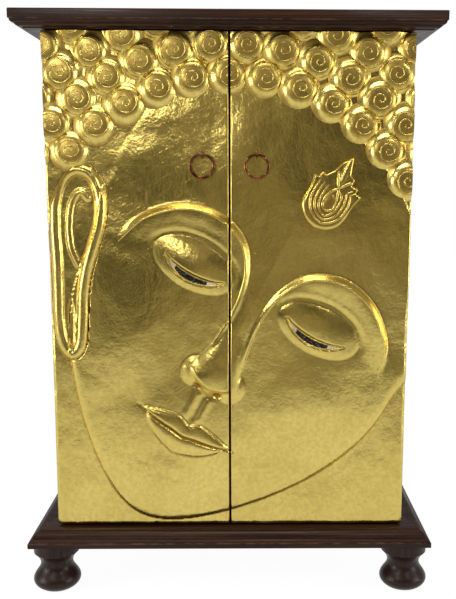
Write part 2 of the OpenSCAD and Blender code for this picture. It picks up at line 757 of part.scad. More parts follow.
module door_solid(side) {
    x0 = side == LEFT ? -body_w / 2 : seam_gap / 2;
    x1 = side == LEFT ? -seam_gap / 2 : body_w / 2;
    nx = ceil((x1 - x0) / facet);
    nz = ceil((door_z1 - door_z0) / facet);
    cols = nx + 1;
    skin = [
        for (j = [0:nz]) for (i = [0:nx]) let (
            x = x0 + (x1 - x0) * i / nx,
            z = door_z0 + (door_z1 - door_z0) * j / nz
        ) [x, door_y - carving(x, z), z]
    ];
    rim = concat(
        [for (i = [0:nx - 1]) i], [for (j = [0:nz - 1]) j * cols + nx],
        [for (i = [nx:-1:1]) nz * cols + i], [for (j = [nz:-1:1]) j * cols]
    );
    k = len(rim);
    n = cols * (nz + 1);
    back = [for (a = rim) [skin[a][0], door_back_y, skin[a][2]]];
    middle = [[(x0 + x1) / 2, door_back_y, (door_z0 + door_z1) / 2]];
    polyhedron(concat(skin, back, middle), concat(
        [for (j = [0:nz - 1]) for (i = [0:nx - 1]) let (a = j * cols + i) [a, a + cols, a + 1]],
        [for (j = [0:nz - 1]) for (i = [0:nx - 1]) let (a = j * cols + i) [a + 1, a + cols, a + cols + 1]],
        [for (e = [0:k - 1]) let (f = (e + 1) % k) [rim[e], rim[f], n + f]],
        [for (e = [0:k - 1]) let (f = (e + 1) % k) [rim[e], n + f, n + e]],
        [for (e = [0:k - 1]) let (f = (e + 1) % k) [n + e, n + f, n + k]]
    ));
}

module door(side) {
    color(GILT) difference() {
        door_solid(side);
        knuckle_room(side);
        hinge_screws(side, door_back_y + leaf_t, -1, fit_gap);
        strike_screw(side, fit_gap);
        rod_y(side * pull_x, front_y, door_y - pull_seat(side), pivot_z, eye_collar_r + seat_gap);
        rod_y(side * pull_x, front_y, shank_end(side) + hole_extra, pivot_z, shank_r + fit_gap);
        at_eye(side, inlay_face(side) + inlay_t, front_overhang) crescent(inlay_gap);
    }
}
function shank_end(side) = door_y - pull_seat(side) + shank_len;

module pull_eye(side) {
    seat_y = door_y - pull_seat(side);
    color(COPPER) {
        translate([side * pull_x, pivot_y(side), pivot_z]) rotate([0, 90, 0])
            rotate_extrude() translate([eye_ring_r, 0]) circle(r = eye_wire_r);
        rod_y(side * pull_x, seat_y - eye_collar_t - eye_wire_r * 0.6, shank_end(side), pivot_z, shank_r);
        rod_y(side * pull_x, seat_y - eye_collar_t, seat_y, pivot_z, eye_collar_r);
    }
}

module pull_ring(side) {
    color(COPPER) translate([side * pull_x, pivot_y(side), pivot_z - ring_r]) rotate([90, 0, 0])
        rotate_extrude($fn = 96) translate([ring_r, 0]) circle(r = wire_r);
}

// Knuckles: the side's leaf holds the two outer ones and the door's leaf the middle one
knuckle_h = hinge_h / 3;
module knuckle_span(z0, z1, y0, y1, side, level) {
    z = hinge_z(level) - hinge_h / 2;
    translate([side * pin_x, pin_y, z + z0]) difference() {
        union() {
            cylinder(r = knuckle_r, h = z1 - z0);
            block([side == RIGHT ? -leaf_w : 0, y0, 0], [side == RIGHT ? 0 : leaf_w, y1, z1 - z0]);
        }
        translate([0, 0, -1]) cylinder(r = pin_r + pin_gap, h = z1 - z0 + 2);
    }
}
module leaf_strip(z0, z1, y0, y1, side, level) {
    z = hinge_z(level) - hinge_h / 2;
    clear = knuckle_r + knuckle_gap;
    x = side == RIGHT ? -leaf_w : clear;
    translate([side * pin_x, pin_y, z + z0]) block([x, y0, 0], [x + leaf_w - clear, y1, z1 - z0]);
}
module hinge_body_leaf(side, level) {
    y0 = leaf_gap / 2;
    y1 = y0 + leaf_t;
    color(STEEL) difference() {
        union() {
            knuckle_span(0, knuckle_h - knuckle_gap / 2, y0, y1, side, level);
            knuckle_span(2 * knuckle_h + knuckle_gap / 2, hinge_h, y0, y1, side, level);
            leaf_strip(0, hinge_h, y0, y1, side, level);
        }
        hinge_screws(side, side_y - leaf_t, 1, fit_gap);
    }
}
module hinge_door_leaf(side, level) {
    y1 = -leaf_gap / 2;
    y0 = y1 - leaf_t;
    color(STEEL) difference() {
        union() {
            knuckle_span(knuckle_h + knuckle_gap / 2, 2 * knuckle_h - knuckle_gap / 2, y0, y1, side, level);
            leaf_strip(0, hinge_h, y0, y1, side, level);
        }
        hinge_screws(side, door_back_y + leaf_t, -1, fit_gap);
    }
}
pin_head_t = 1;
module hinge_pin(side, level) {
    z = hinge_z(level) - hinge_h / 2;
    color(STEEL) translate([side * pin_x, pin_y, z]) {
        cylinder(r = pin_r, h = hinge_h);
        translate([0, 0, hinge_h]) cylinder(r1 = knuckle_r * 0.9, r2 = knuckle_r * 0.5, h = pin_head_t * 0.8);
        translate([0, 0, -pin_head_t * 0.8])
            cylinder(r1 = knuckle_r * 0.5, r2 = knuckle_r * 0.9, h = pin_head_t * 0.8);
    }
}

top_board();
plinth_board();
side_panel(LEFT);  // left_side
side_panel(RIGHT);  // right_side
back_panel();
color(STEEL) nails();  // back_panel_nails
top_rail();
shelf();
shelf_batten(LEFT);  // left_shelf_batten
shelf_batten(RIGHT);  // right_shelf_batten
color(STEEL) batten_screw_set();  // batten_screws
color(PLY) dowels();  // carcass_dowels
foot(-foot_x, -foot_y);  // front_left_foot
foot(foot_x, -foot_y);  // front_right_foot
foot(-foot_x, foot_y);  // back_left_foot
foot(foot_x, foot_y);  // back_right_foot
door(LEFT);  // left_door
door(RIGHT);  // right_door
eye_shell(LEFT);  // left_eye_shell
eye_pupil(LEFT);  // left_eye_pupil
eye_shell(RIGHT);  // right_eye_shell
eye_pupil(RIGHT);  // right_eye_pupil
pull_eye(LEFT);  // left_pull_eye
pull_eye(RIGHT);  // right_pull_eye
pull_ring(LEFT);  // left_pull_ring
pull_ring(RIGHT);  // right_pull_ring
color(STEEL) {  // body_hinge_screws
    hinge_screws(LEFT, side_y - leaf_t, 1);
    hinge_screws(RIGHT, side_y - leaf_t, 1);
}
color(STEEL)  // left_door_hinge_screws
    hinge_screws(LEFT, door_back_y + leaf_t, -1);
color(STEEL)  // right_door_hinge_screws
    hinge_screws(RIGHT, door_back_y + leaf_t, -1);
catch_housing(LEFT);  // left_catch_housing
catch_housing(RIGHT);  // right_catch_housing
catch_magnet(LEFT);  // left_catch_magnet
catch_magnet(RIGHT);  // right_catch_magnet
color(STEEL) catch_screw_set();  // catch_screws
strike_plate(LEFT);  // left_strike_plate
strike_plate(RIGHT);  // right_strike_plate
color(STEEL) strike_screw(LEFT);  // left_strike_screw
color(STEEL) strike_screw(RIGHT);  // right_strike_screw
hinge_body_leaf(LEFT, UPPER);  // left_upper_hinge_body_leaf
hinge_door_leaf(LEFT, UPPER);  // left_upper_hinge_door_leaf
hinge_pin(LEFT, UPPER);  // left_upper_hinge_pin
hinge_body_leaf(LEFT, LOWER);  // left_lower_hinge_body_leaf
hinge_door_leaf(LEFT, LOWER);  // left_lower_hinge_door_leaf
hinge_pin(LEFT, LOWER);  // left_lower_hinge_pin
hinge_body_leaf(RIGHT, UPPER);  // right_upper_hinge_body_leaf
hinge_door_leaf(RIGHT, UPPER);  // right_upper_hinge_door_leaf
hinge_pin(RIGHT, UPPER);  // right_upper_hinge_pin
hinge_body_leaf(RIGHT, LOWER);  // right_lower_hinge_body_leaf
hinge_door_leaf(RIGHT, LOWER);  // right_lower_hinge_door_leaf
hinge_pin(RIGHT, LOWER);  // right_lower_hinge_pin
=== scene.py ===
"""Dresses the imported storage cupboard: carved and gilded doors on a dark moulded and turned carcass.

Lengths are in millimetres, as in the part's source, until a mesh is made; meshes are in metres. The doors
face -Y and Z is up.
"""
from __future__ import annotations

import logging
import math
from contextlib import contextmanager
from dataclasses import dataclass
from enum import Enum
from typing import Any, Callable, Iterator, Sequence

import bmesh
import bpy
import numpy as np
from bpy.types import Material, Mesh, Node, NodeSocket, Object
from mathutils import Matrix, Vector


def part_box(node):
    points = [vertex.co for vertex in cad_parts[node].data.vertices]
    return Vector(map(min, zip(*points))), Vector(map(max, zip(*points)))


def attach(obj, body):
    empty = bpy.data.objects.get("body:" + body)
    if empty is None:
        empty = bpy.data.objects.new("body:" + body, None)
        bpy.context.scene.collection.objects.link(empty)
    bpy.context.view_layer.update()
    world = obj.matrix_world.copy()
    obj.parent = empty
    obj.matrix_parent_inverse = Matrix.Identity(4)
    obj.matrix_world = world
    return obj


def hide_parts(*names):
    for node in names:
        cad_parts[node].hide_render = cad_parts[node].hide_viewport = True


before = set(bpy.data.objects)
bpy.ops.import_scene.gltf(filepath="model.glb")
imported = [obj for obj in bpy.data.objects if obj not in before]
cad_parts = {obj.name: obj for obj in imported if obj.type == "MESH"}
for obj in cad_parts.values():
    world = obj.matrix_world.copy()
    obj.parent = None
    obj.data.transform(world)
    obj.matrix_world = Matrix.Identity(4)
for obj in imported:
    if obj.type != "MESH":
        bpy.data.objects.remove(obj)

log = logging.getLogger("cupboard")
MM = 0.001
DOOR_THICK = 20.0
MERGE_DISTANCE = 0.00001
Point = tuple[float, float, float]
Pair = tuple[float, float]
Colour = tuple[float, float, float]
Sockets = dict[Any, Any]
Grid = np.ndarray


class Side(Enum):
    """The cupboard's left and right, as the photograph shows them."""

    LEFT = -1
    RIGHT = 1

    def node(self, rest: str) -> str:
        """The frame's name for this side's node."""
        return f"{self.name.lower()}_{rest}"


class Axis(Enum):
    """The way that a wood's grain runs, as the turn that brings X there."""

    X = (0.0, 0.0, 0.0)
    Y = (0.0, 0.0, math.pi / 2)
    Z = (0.0, math.pi / 2, 0.0)


def smooth(t: Grid) -> Grid:
    """Rises from 0 to 1 as t does, level at both ends."""
    c = np.clip(t, 0, 1)
    return c * c * (3 - 2 * c)


def bump(q: Grid, power: float = 0.5) -> Grid:
    """A rounded bump: 1 at q = 0, and 0 from q = 1 outwards."""
    return np.maximum(0, 1 - q * q) ** power


def ridge(d: Grid, width: float) -> Grid:
    """A soft ridge of a given half width along d = 0."""
    return np.exp(-((d / width) ** 2))


def blended_max(a: Grid, b: Grid, soft: float) -> Grid:
    """The larger of two heights, with their meeting rounded over a height of soft."""
    h = np.clip(0.5 + 0.5 * (a - b) / soft, 0, 1)
    return b + (a - b) * h + soft * h * (1 - h)


def turn_steps(count: int) -> Grid:
    """Angles once round, in equal steps."""
    return 2 * np.pi * np.arange(count) / count


def spline(points: Sequence[Sequence[float]], steps: int = 8, closed: bool = False) -> Grid:
    """Smooth curve through some points.

    Args:
        points: The points, each with the same number of coordinates.
        steps: How many points to make between two of them.
        closed: Whether the curve runs on from its last point to its first.

    Returns:
        The curve's points, one a row.
    """
    rows = list(points)
    p = np.array([rows[-1], *rows, rows[0], rows[1]] if closed else [rows[0], *rows, rows[-1]], float)
    a, b, c, d = (p[k:len(p) - 3 + k, None] for k in range(4))
    t = (np.arange(steps) / steps)[:, None]
    curve = 0.5 * (2 * b + (c - a) * t + (2 * a - 5 * b + 4 * c - d) * t**2 + (3 * b - a - 3 * c + d) * t**3)
    curve = curve.reshape(-1, p.shape[1])
    return curve if closed else np.vstack([curve, p[-2:-1]])


def beside(x: Grid, y: Grid, line: Grid) -> tuple[Grid, Grid]:
    """Where points lie along a line.

    Args:
        x: First coordinate of the points.
        y: Their second coordinate.
        line: The line's points, one a row.

    Returns:
        Their distance from it, negative to the right of its way, and the share of its length run.
    """
    best = np.full(x.shape, 1e9)
    side, where = np.ones_like(best), np.zeros_like(best)
    lengths = np.hypot(*(line[1:] - line[:-1]).T)
    run = 0.0
    for a, b, length in zip(line[:-1], line[1:], lengths):
        d = (b - a) / length
        px, py = x - a[0], y - a[1]
        t = np.clip(px * d[0] + py * d[1], 0, length)
        dist = np.hypot(px - t * d[0], py - t * d[1])
        near = dist < best
        best = np.where(near, dist, best)
        side = np.where(near, np.where(d[0] * py - d[1] * px < 0, -1.0, 1.0), side)
        where = np.where(near, (run + t) / lengths.sum(), where)
        run += length
    return best * side, where


def edge_gap(x: Grid, y: Grid, outline: Grid) -> Grid:
    """Distance of points from a closed outline."""
    return np.abs(beside(x, y, np.vstack([outline, outline[:1]]))[0])


def within(x: Grid, y: Grid, outline: Grid) -> Grid:
    """Whether points lie inside a closed outline."""
    inside = np.zeros(x.shape, bool)
    for (xa, ya), (xb, yb) in zip(outline, np.roll(outline, 1, axis=0)):
        if ya != yb:
            inside ^= ((ya > y) != (yb > y)) & (x < (xb - xa) * (y - ya) / (yb - ya) + xa)
    return inside


def evened(h: Grid, reach: int = 3) -> Grid:
    """Heights along a line, evened out over a few neighbours."""
    share = np.ones(2 * reach + 1) / (2 * reach + 1)
    return np.convolve(np.pad(h, reach, mode="edge"), share, mode="valid")


def blurred(h: Grid, reach: int) -> Grid:
    """A height grid evened out over a number of cells each way."""
    for axis in (0, 1):
        h = np.apply_along_axis(evened, axis, h, reach)
    return h


def node_box(node: str) -> tuple[Vector, Vector]:
    """Lowest and highest corner of a node of the frame, in millimetres."""
    low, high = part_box(node)
    return Vector(low) / MM, Vector(high) / MM


def new_object(name: str, mesh: Mesh) -> Object:
    """A mesh as an object of the scene."""
    piece = bpy.data.objects.new(name, mesh)
    bpy.context.scene.collection.objects.link(piece)
    return piece


def mesh_from(name: str, points: Any, faces: Sequence[Any], edges: Sequence[Any] = ()) -> Mesh:
    """Mesh from points in millimetres and faces that point outwards."""
    mesh = bpy.data.meshes.new(name)
    mesh.from_pydata((np.array(points, float) * MM).tolist(), edges, [tuple(map(int, f)) for f in faces])
    mesh.update()
    return mesh


def mark(mesh: Mesh, name: str, values: Any, domain: str = "POINT") -> None:
    """Gives each point or face of a mesh a number, for a finish to read."""
    mesh.attributes.new(name, "FLOAT", domain).data.foreach_set("value", np.ravel(values))


def dressed(mesh: Mesh, degrees: float, *finishes: Finish) -> Mesh:
    """Shades a mesh smooth, but for edges sharper than an angle, and adds its materials."""
    mesh.shade_smooth()
    mesh.set_sharp_from_angle(angle=math.radians(degrees))
    for finish in finishes:
        mesh.materials.append(finish.material())
    return mesh


@contextmanager
def edited(mesh: Mesh, source: Mesh | None = None) -> Iterator[bmesh.types.BMesh]:
    """Opens a mesh, or another one to copy, for editing and writes the result to the mesh."""
    work = bmesh.new()
    work.from_mesh(source or mesh)
    yield work
    work.to_mesh(mesh)
    work.free()


def joined(name: str, meshes: Sequence[Mesh]) -> Mesh:
    """Several meshes as one, with the first one's materials."""
    whole = bpy.data.meshes.new(name)
    with edited(whole) as work:
        for mesh in meshes:
            work.from_mesh(mesh)
    for material in meshes[0].materials:
        whole.materials.append(material)
    return whole


def tube_faces(rings: int, count: int, first: int = 0, wrap: bool = False) -> list[tuple[int, ...]]:
    """Faces between rings of points.

    Args:
        rings: How many rings there are.
        count: Points in a ring, counter-clockwise as seen from the next ring.
        first: Number of the first point.
        wrap: Whether the last ring joins the first.

    Returns:
        The faces, pointing outwards.
    """
    faces = []
    for i in range(rings if wrap else rings - 1):
        low, high = first + i * count, first + (i + 1) % rings * count
        faces += [(low + k, low + (k + 1) % count, high + (k + 1) % count, high + k) for k in range(count)]
    return faces


def turned(rows: Sequence[Pair], steps: int) -> Grid:
    """Rings of points round Z, for the radius and the height of each ring."""
    r, z = np.array(rows, float).T[:, :, None]
    a = turn_steps(steps)
    return np.stack([r * np.cos(a), r * np.sin(a), z + 0 * a], 2)


def capped(name: str, start: Point, rings: Grid, end: Point, flip: bool = False) -> Mesh:
    """Closed mesh through rings of points, with a middle point at either end.

    Args:
        name: Name of the mesh.
        start: The middle before the first ring.
        rings: The rings, counter-clockwise as seen from the end.
        end: The middle after the last ring.
        flip: Whether the rings go round the other way.

    Returns:
        The mesh.
    """
    count = rings.shape[1]
    last = 1 + (len(rings) - 1) * count
    faces = tube_faces(len(rings), count, 1)
    faces += [(0, 1 + (k + 1) % count, 1 + k) for k in range(count)]
    faces += [(last + k, last + (k + 1) % count, last + count) for k in range(count)]
    if flip:
        faces = [(face[0], *face[:0:-1]) for face in faces]
    return mesh_from(name, [start, *rings.reshape(-1, 3), end], faces)


def modified(name: str, mesh: Mesh, kind: str, inputs: dict[str, Any], **settings: Any) -> Mesh:
    """Runs one modifier on a mesh.

    Args:
        name: Name of the mesh that comes out.
        mesh: The mesh that goes in.
        kind: The modifier's type.
        inputs: Identifier and value of its node tree's inputs.
        **settings: Its properties.

    Returns:
        The result as a plain mesh.
    """
    holder = new_object(f"{name}_start", mesh)
    modifier = holder.modifiers.new("shape", kind)
    for key, value in settings.items():
        setattr(modifier, key, value)
    for identifier, value in inputs.items():
        modifier[identifier] = value
    held = holder.evaluated_get(bpy.context.evaluated_depsgraph_get())
    done = bpy.data.meshes.new_from_object(held)
    done.name = name
    bpy.data.objects.remove(holder)
    return done


def settle(name: str, mesh: Mesh, body: str, slot: str, *nodes: str) -> None:
    """Puts a finished piece in the scene.

    Args:
        name: The piece's name.
        mesh: Its mesh, dressed.
        body: The body that it rides on.
        slot: The record's slot that it takes its finish from; not used.
        *nodes: The nodes of the frame that it stands for.
    """
    piece = new_object(name, mesh)
    if nodes:
        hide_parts(*nodes)
    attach(piece, body)
    log.info("%s rides on %s, %d faces", name, body, len(mesh.polygons))


def titled(word: str) -> str:
    """A socket's name from a Python one."""
    return word.replace("_", " ").title()


class ShaderTree:
    """Short way to write a node tree: each call makes a node, sets its sockets and gives an output."""

    def __init__(self, tree: bpy.types.NodeTree) -> None:
        """Keeps the tree to write in."""
        self.tree = tree

    def node(self, kind: str, sockets: Sockets | None = None, **settings: Any) -> Node:
        """Adds a node.

        Args:
            kind: The node's type name.
            sockets: Input name or number to a value, or to another node's output.
            **settings: Properties of the node.

        Returns:
            The node.
        """
        node = self.tree.nodes.new(kind)
        for key, value in settings.items():
            setattr(node, key, value)
        for key, value in (sockets or {}).items():
            if isinstance(value, NodeSocket):
                self.tree.links.new(value, node.inputs[key])
            else:
                node.inputs[key].default_value = value
        return node

    def out(self, kind: str, sockets: Sockets | None = None, **settings: Any) -> NodeSocket:
        """Adds a node and gives its first output."""
        return self.node(kind, sockets, **settings).outputs[0]

    def math(self, operation: str, a: Any, b: Any = 0.0) -> NodeSocket:
        """The output of a Math node."""
        return self.out("ShaderNodeMath", {0: a, 1: b}, operation=operation)

    def times(self, a: Any, b: Any) -> NodeSocket:
        """The product of two values."""
        return self.math("MULTIPLY", a, b)

    def plus(self, a: Any, b: Any) -> NodeSocket:
        """The sum of two values."""
        return self.math("ADD", a, b)

    def minus(self, a: Any, b: Any) -> NodeSocket:
        """The difference of two values."""
        return self.math("SUBTRACT", a, b)

    def larger(self, a: Any, b: Any) -> NodeSocket:
        """The larger of two values."""
        return self.math("MAXIMUM", a, b)

    def parts(self, vector: Any) -> Sequence[NodeSocket]:
        """X, Y and Z of a vector."""
        return self.node("ShaderNodeSeparateXYZ", {0: vector}).outputs

    def mix(self, share: Any, a: Any, b: Any) -> NodeSocket:
        """A mix of two colours, plain or linked."""
        a, b = (c if isinstance(c, NodeSocket) else (*c, 1) for c in (a, b))
        return self.node("ShaderNodeMix", {0: share, 6: a, 7: b}, data_type="RGBA").outputs[2]

    def scaled(self, value: Any, low: float, high: float, to: Pair = (0, 1)) -> NodeSocket:
        """A value brought smoothly from one range to another."""
        sockets = {"Value": value, "From Min": low, "From Max": high, "To Min": to[0], "To Max": to[1]}
        return self.out("ShaderNodeMapRange", sockets, interpolation_type="SMOOTHSTEP")

    def noise(self, vector: Any, scale: Any, detail: float, rough: float) -> NodeSocket:
        """The value of a Noise node."""
        sockets = {"Vector": vector, "Scale": scale, "Detail": detail, "Roughness": rough}
        return self.out("ShaderNodeTexNoise", sockets)

    def stretched(self, vector: Any, scale: Point = (1, 1, 1), turn: Point = (0, 0, 0)) -> NodeSocket:
        """A vector turned and then scaled."""
        turned_way = self.out("ShaderNodeMapping", {"Vector": vector, "Rotation": turn})
        return self.out("ShaderNodeMapping", {"Vector": turned_way, "Scale": scale})

    def bumps(self, height: Any, strength: float, distance: float, normal: Any = None) -> NodeSocket:
        """The normal of a Bump node, on top of another's."""
        sockets = {"Height": height, "Strength": strength, "Distance": distance}
        if normal is not None:
            sockets["Normal"] = normal
        return self.out("ShaderNodeBump", sockets)

    def marked(self, name: str) -> NodeSocket:
        """A number that the mesh carries."""
        return self.node("ShaderNodeAttribute", attribute_name=name).outputs["Fac"]

    def cells(self, where: Any, scale: float) -> NodeSocket:
        """A random tone for each cell of a Voronoi pattern."""
        pattern = self.node("ShaderNodeTexVoronoi", {"Vector": where, "Scale": scale})
        return self.out("ShaderNodeSeparateColor", {0: pattern.outputs["Color"]})


def blank_material(name: str) -> tuple[Material, ShaderTree]:
    """A new material and its empty tree."""
    made = bpy.data.materials.new(name)
    made.use_nodes = True
    made.node_tree.nodes.clear()
    return made, ShaderTree(made.node_tree)


def speckle(tree: ShaderTree, vector: Any, patch_scale: Any, fleck_scale: Any) -> Sockets:
    """Fine flecks and larger cloudy patches."""
    return {"Patches": tree.scaled(tree.noise(vector, patch_scale, 5.0, 0.6), 0.35, 0.65),
            "Flecks": tree.scaled(tree.noise(vector, fleck_scale, 3.0, 0.7), 0.5, 0.7)}


def scratches(tree: ShaderTree, vector: Any, scale: Any) -> Sockets:
    """Fine lines in two directions, as left by a brush or a cloth."""
    ways = [tree.stretched(vector, (14.0, 1.0, 1.0), (0, turn, 0)) for turn in (0.35, -1.05)]
    lines = [tree.noise(way, scale, 3.0, 0.65) for way in ways]
    return {"Lines": tree.scaled(tree.larger(*lines), 0.6, 0.78)}


def grain(tree: ShaderTree, vector: Any, scale: Any) -> Sockets:
    """Wood grain along X: broad figure, fine lines and short pores."""
    figure = tree.noise(tree.stretched(vector, (0.5, 5.0, 5.0)), scale, 3.0, 0.5)
    lines = tree.noise(tree.stretched(vector, (0.45, 52.0, 52.0)), scale, 3.0, 0.6)
    pores = tree.noise(tree.stretched(vector, (6.0, 130.0, 130.0)), scale, 2.0, 0.5)
    return {"Figure": tree.scaled(figure, 0.3, 0.7), "Lines": tree.scaled(lines, 0.35, 0.68),
            "Pores": tree.scaled(pores, 0.58, 0.7)}


def edge_wear(tree: ShaderTree, vector: Any, scale: Any, edge: Any) -> Sockets:
    """Mask of rubbed outer edges: where the edges are, broken up by noise."""
    return {"Worn": tree.times(edge, tree.scaled(tree.noise(vector, scale, 5.0, 0.7), 0.42, 0.62))}


def effect(tree: ShaderTree, paint: Callable[..., Sockets], vector: Any, **values: Any) -> Any:
    """Places a shader node group that several finishes share, built once.

    Args:
        tree: The material's tree.
        paint: Writes the group from a vector and its other inputs, and names its outputs.
        vector: Where on the surface.
        **values: A number or a link for each of the other inputs.

    Returns:
        The placed group's outputs.
    """
    group = bpy.data.node_groups.get(paint.__name__)
    if group is None:
        group = bpy.data.node_groups.new(paint.__name__, "ShaderNodeTree")
        group.interface.new_socket(name="Vector", in_out="INPUT", socket_type="NodeSocketVector")
        for word in values:
            group.interface.new_socket(name=titled(word), in_out="INPUT", socket_type="NodeSocketFloat")
        inner = ShaderTree(group)
        source = inner.node("NodeGroupInput").outputs
        made = paint(inner, source["Vector"], **{word: source[titled(word)] for word in values})
        for word in made:
            group.interface.new_socket(name=word, in_out="OUTPUT", socket_type="NodeSocketFloat")
        inner.node("NodeGroupOutput", made)
    sockets = {titled(word): value for word, value in values.items()}
    return tree.node("ShaderNodeGroup", {"Vector": vector, **sockets}, node_tree=group).outputs


@dataclass(frozen=True)
class Finish:
    """A finish: its name and what every surface shader needs."""

    name: str
    slot: str
    metallic: float = 0.0
    specular: float = 0.5

    def material(self) -> Material:
        """The finish's material, made the first time that it is asked for."""
        made = bpy.data.materials.get(self.name)
        if made is None:
            made, tree = blank_material(self.name)
            where = tree.node("ShaderNodeTexCoord").outputs["Object"]
            sockets = {"Metallic": self.metallic, "Specular IOR Level": self.specular}
            shader = tree.out("ShaderNodeBsdfPrincipled", {**sockets, **self.paint(tree, where)})
            tree.node("ShaderNodeOutputMaterial", {"Surface": shader})
        return made

    def paint(self, tree: ShaderTree, where: NodeSocket) -> Sockets:
        """The shader's colour, roughness and normal."""
        raise NotImplementedError

    @staticmethod
    def surface(colour: Any, rough: Any, normal: Any, **more: Any) -> Sockets:
        """Names the shader's sockets."""
        return {"Base Color": colour, "Roughness": rough, "Normal": normal, **more}


@dataclass(frozen=True)
class GoldLeaf(Finish):
    """Leaf laid on carved wood: warm, mottled and rubbed, with painted shade of ochre brown in its hollows.
    """

    name: str = "rubbed_gold_leaf"
    slot: str = "gold_leaf"
    metallic: float = 1.0
    bright: Colour = (0.80, 0.645, 0.18)
    dull: Colour = (0.56, 0.42, 0.092)
    tarnish: Colour = (0.60, 0.40, 0.11)
    hollow: Colour = (0.36, 0.205, 0.038)
    bare: Colour = (0.12, 0.055, 0.018)
    creases: float = 1.0
    roughness: Pair = (0.16, 0.21)

    def paint(self, tree: ShaderTree, where: NodeSocket) -> Sockets:
        """Mottles the leaf, paints shade of ochre brown into its hollows, breaks it at sharp edges and
        creases its surface.
        """
        broad = effect(tree, speckle, where, patch_scale=6.0, fleck_scale=420.0)["Patches"]
        fine = effect(tree, speckle, where, patch_scale=150.0, fleck_scale=900.0)
        patches = fine["Patches"]
        lines = effect(tree, scratches, where, scale=34.0)["Lines"]
        sharp = tree.scaled(tree.node("ShaderNodeNewGeometry").outputs["Pointiness"], 0.52, 0.6)
        worn = effect(tree, edge_wear, where, scale=140.0, edge=sharp)["Worn"]
        tint = tree.mix(tree.times(broad, 0.32), self.bright, self.dull)
        tint = tree.mix(tree.times(patches, 0.38), tint, self.tarnish)
        tint = tree.mix(tree.times(fine["Flecks"], 0.55), tint, self.dull)
        # Painted shade: where the mesh marks shade in its hollows, helped a little by the cloudy patches, the
        # leaf darkens towards the ochre brown and grows rougher.
        shade_mask = tree.scaled(tree.plus(tree.marked("hollow"), tree.times(patches, 0.22)), 0.3, 1.1, (0, 0.85))
        colour = tree.mix(shade_mask, tint, self.hollow)
        chip = tree.times(worn, tree.math("GREATER_THAN", patches, 0.55))
        colour = tree.mix(tree.times(chip, 0.65), colour, self.bare)
        rough = tree.plus(tree.scaled(broad, 0, 1, self.roughness), tree.times(patches, 0.05))
        rough = tree.plus(rough, tree.times(shade_mask, 0.22))
        rippled = tree.stretched(where, (1.5, 1.0, 0.7), (0, 0.1, 0))
        brushed = tree.stretched(where, (1.8, 1.0, 0.35), (0, 0.05, 0))
        heights = ((tree.noise(where, 7.0, 1.0, 0.4), 0.0060), (tree.noise(where, 19.0, 2.0, 0.45), 0.0026),
                   (tree.noise(rippled, 56.0, 2.0, 0.5), 0.00040),
                   (tree.noise(brushed, 125.0, 2.0, 0.5), 0.00005),
                   (tree.noise(where, 235.0, 2.0, 0.65), 0.00030),
                   (tree.noise(where, 950.0, 2.0, 0.6), 0.00002), (lines, -0.00005))
        normal = None
        for height, distance in heights:
            normal = tree.bumps(height, 1.0, distance * self.creases, normal)
        return self.surface(colour, rough, normal)


@dataclass(frozen=True)
class StainedWood(Finish):
    """Dark stained and rubbed wood with its grain along one axis."""

    name: str = "stained_wood"
    slot: str = "dark_wood"
    axis: Axis = Axis.X
    specular: float = 0.2
    dark: Colour = (0.0125, 0.0046, 0.0024)
    light: Colour = (0.064, 0.0245, 0.0120)
    rubbed: Colour = (0.13, 0.066, 0.040)
    gloss: Pair = (0.24, 0.40)

    def paint(self, tree: ShaderTree, where: NodeSocket) -> Sockets:
        """Lays grain, pores and rubbed edges into the stain."""
        wood = effect(tree, grain, tree.stretched(where, turn=self.axis.value), scale=9.0)
        worn = effect(tree, edge_wear, where, scale=55.0, edge=tree.marked("rim"))["Worn"]
        tone = tree.plus(tree.times(wood["Lines"], 0.82), tree.times(wood["Figure"], 0.18))
        stain = tree.mix(tree.math("POWER", tone, 1.35), self.dark, self.light)
        stain = tree.mix(tree.times(wood["Pores"], 0.7), stain, self.dark)
        colour = tree.mix(tree.times(worn, 0.6), stain, self.rubbed)
        rough = tree.scaled(wood["Lines"], 0, 1, self.gloss[::-1])
        normal = tree.bumps(wood["Lines"], 0.25, 0.00022)
        return self.surface(colour, rough, tree.bumps(wood["Pores"], -0.45, 0.00025, normal))


@dataclass(frozen=True)
class BareWood(Finish):
    """Unstained wood or plywood inside and behind."""

    name: str = "bare_plywood"
    slot: str = "plywood"
    axis: Axis = Axis.Z
    dark: Colour = (0.30, 0.17, 0.085)
    light: Colour = (0.50, 0.32, 0.18)

    def paint(self, tree: ShaderTree, where: NodeSocket) -> Sockets:
        """Shows the open grain with a dry surface."""
        wood = effect(tree, grain, tree.stretched(where, turn=self.axis.value), scale=5.0)
        tone = tree.plus(tree.times(wood["Lines"], 0.45), tree.times(wood["Figure"], 0.55))
        rough = tree.scaled(wood["Lines"], 0, 1, (0.62, 0.78))
        return self.surface(tree.mix(tone, self.dark, self.light), rough,
                            tree.bumps(wood["Pores"], -0.4, 0.0002))


@dataclass(frozen=True)
class OldCopper(Finish):
    """Handled copper wire, browned and bright where it rubs."""

    name: str = "browned_copper"
    slot: str = "old_copper"
    metallic: float = 1.0
    bright: Colour = (0.30, 0.130, 0.052)
    brown: Colour = (0.048, 0.020, 0.009)

    def paint(self, tree: ShaderTree, where: NodeSocket) -> Sockets:
        """Browns the copper in patches."""
        patches = effect(tree, speckle, where, patch_scale=95.0, fleck_scale=700.0)["Patches"]
        rough = tree.scaled(patches, 0, 1, (0.16, 0.36))
        return self.surface(tree.mix(patches, self.bright, self.brown), rough,
                            tree.bumps(tree.noise(where, 380.0, 3.0, 0.5), 0.25, 0.0002))


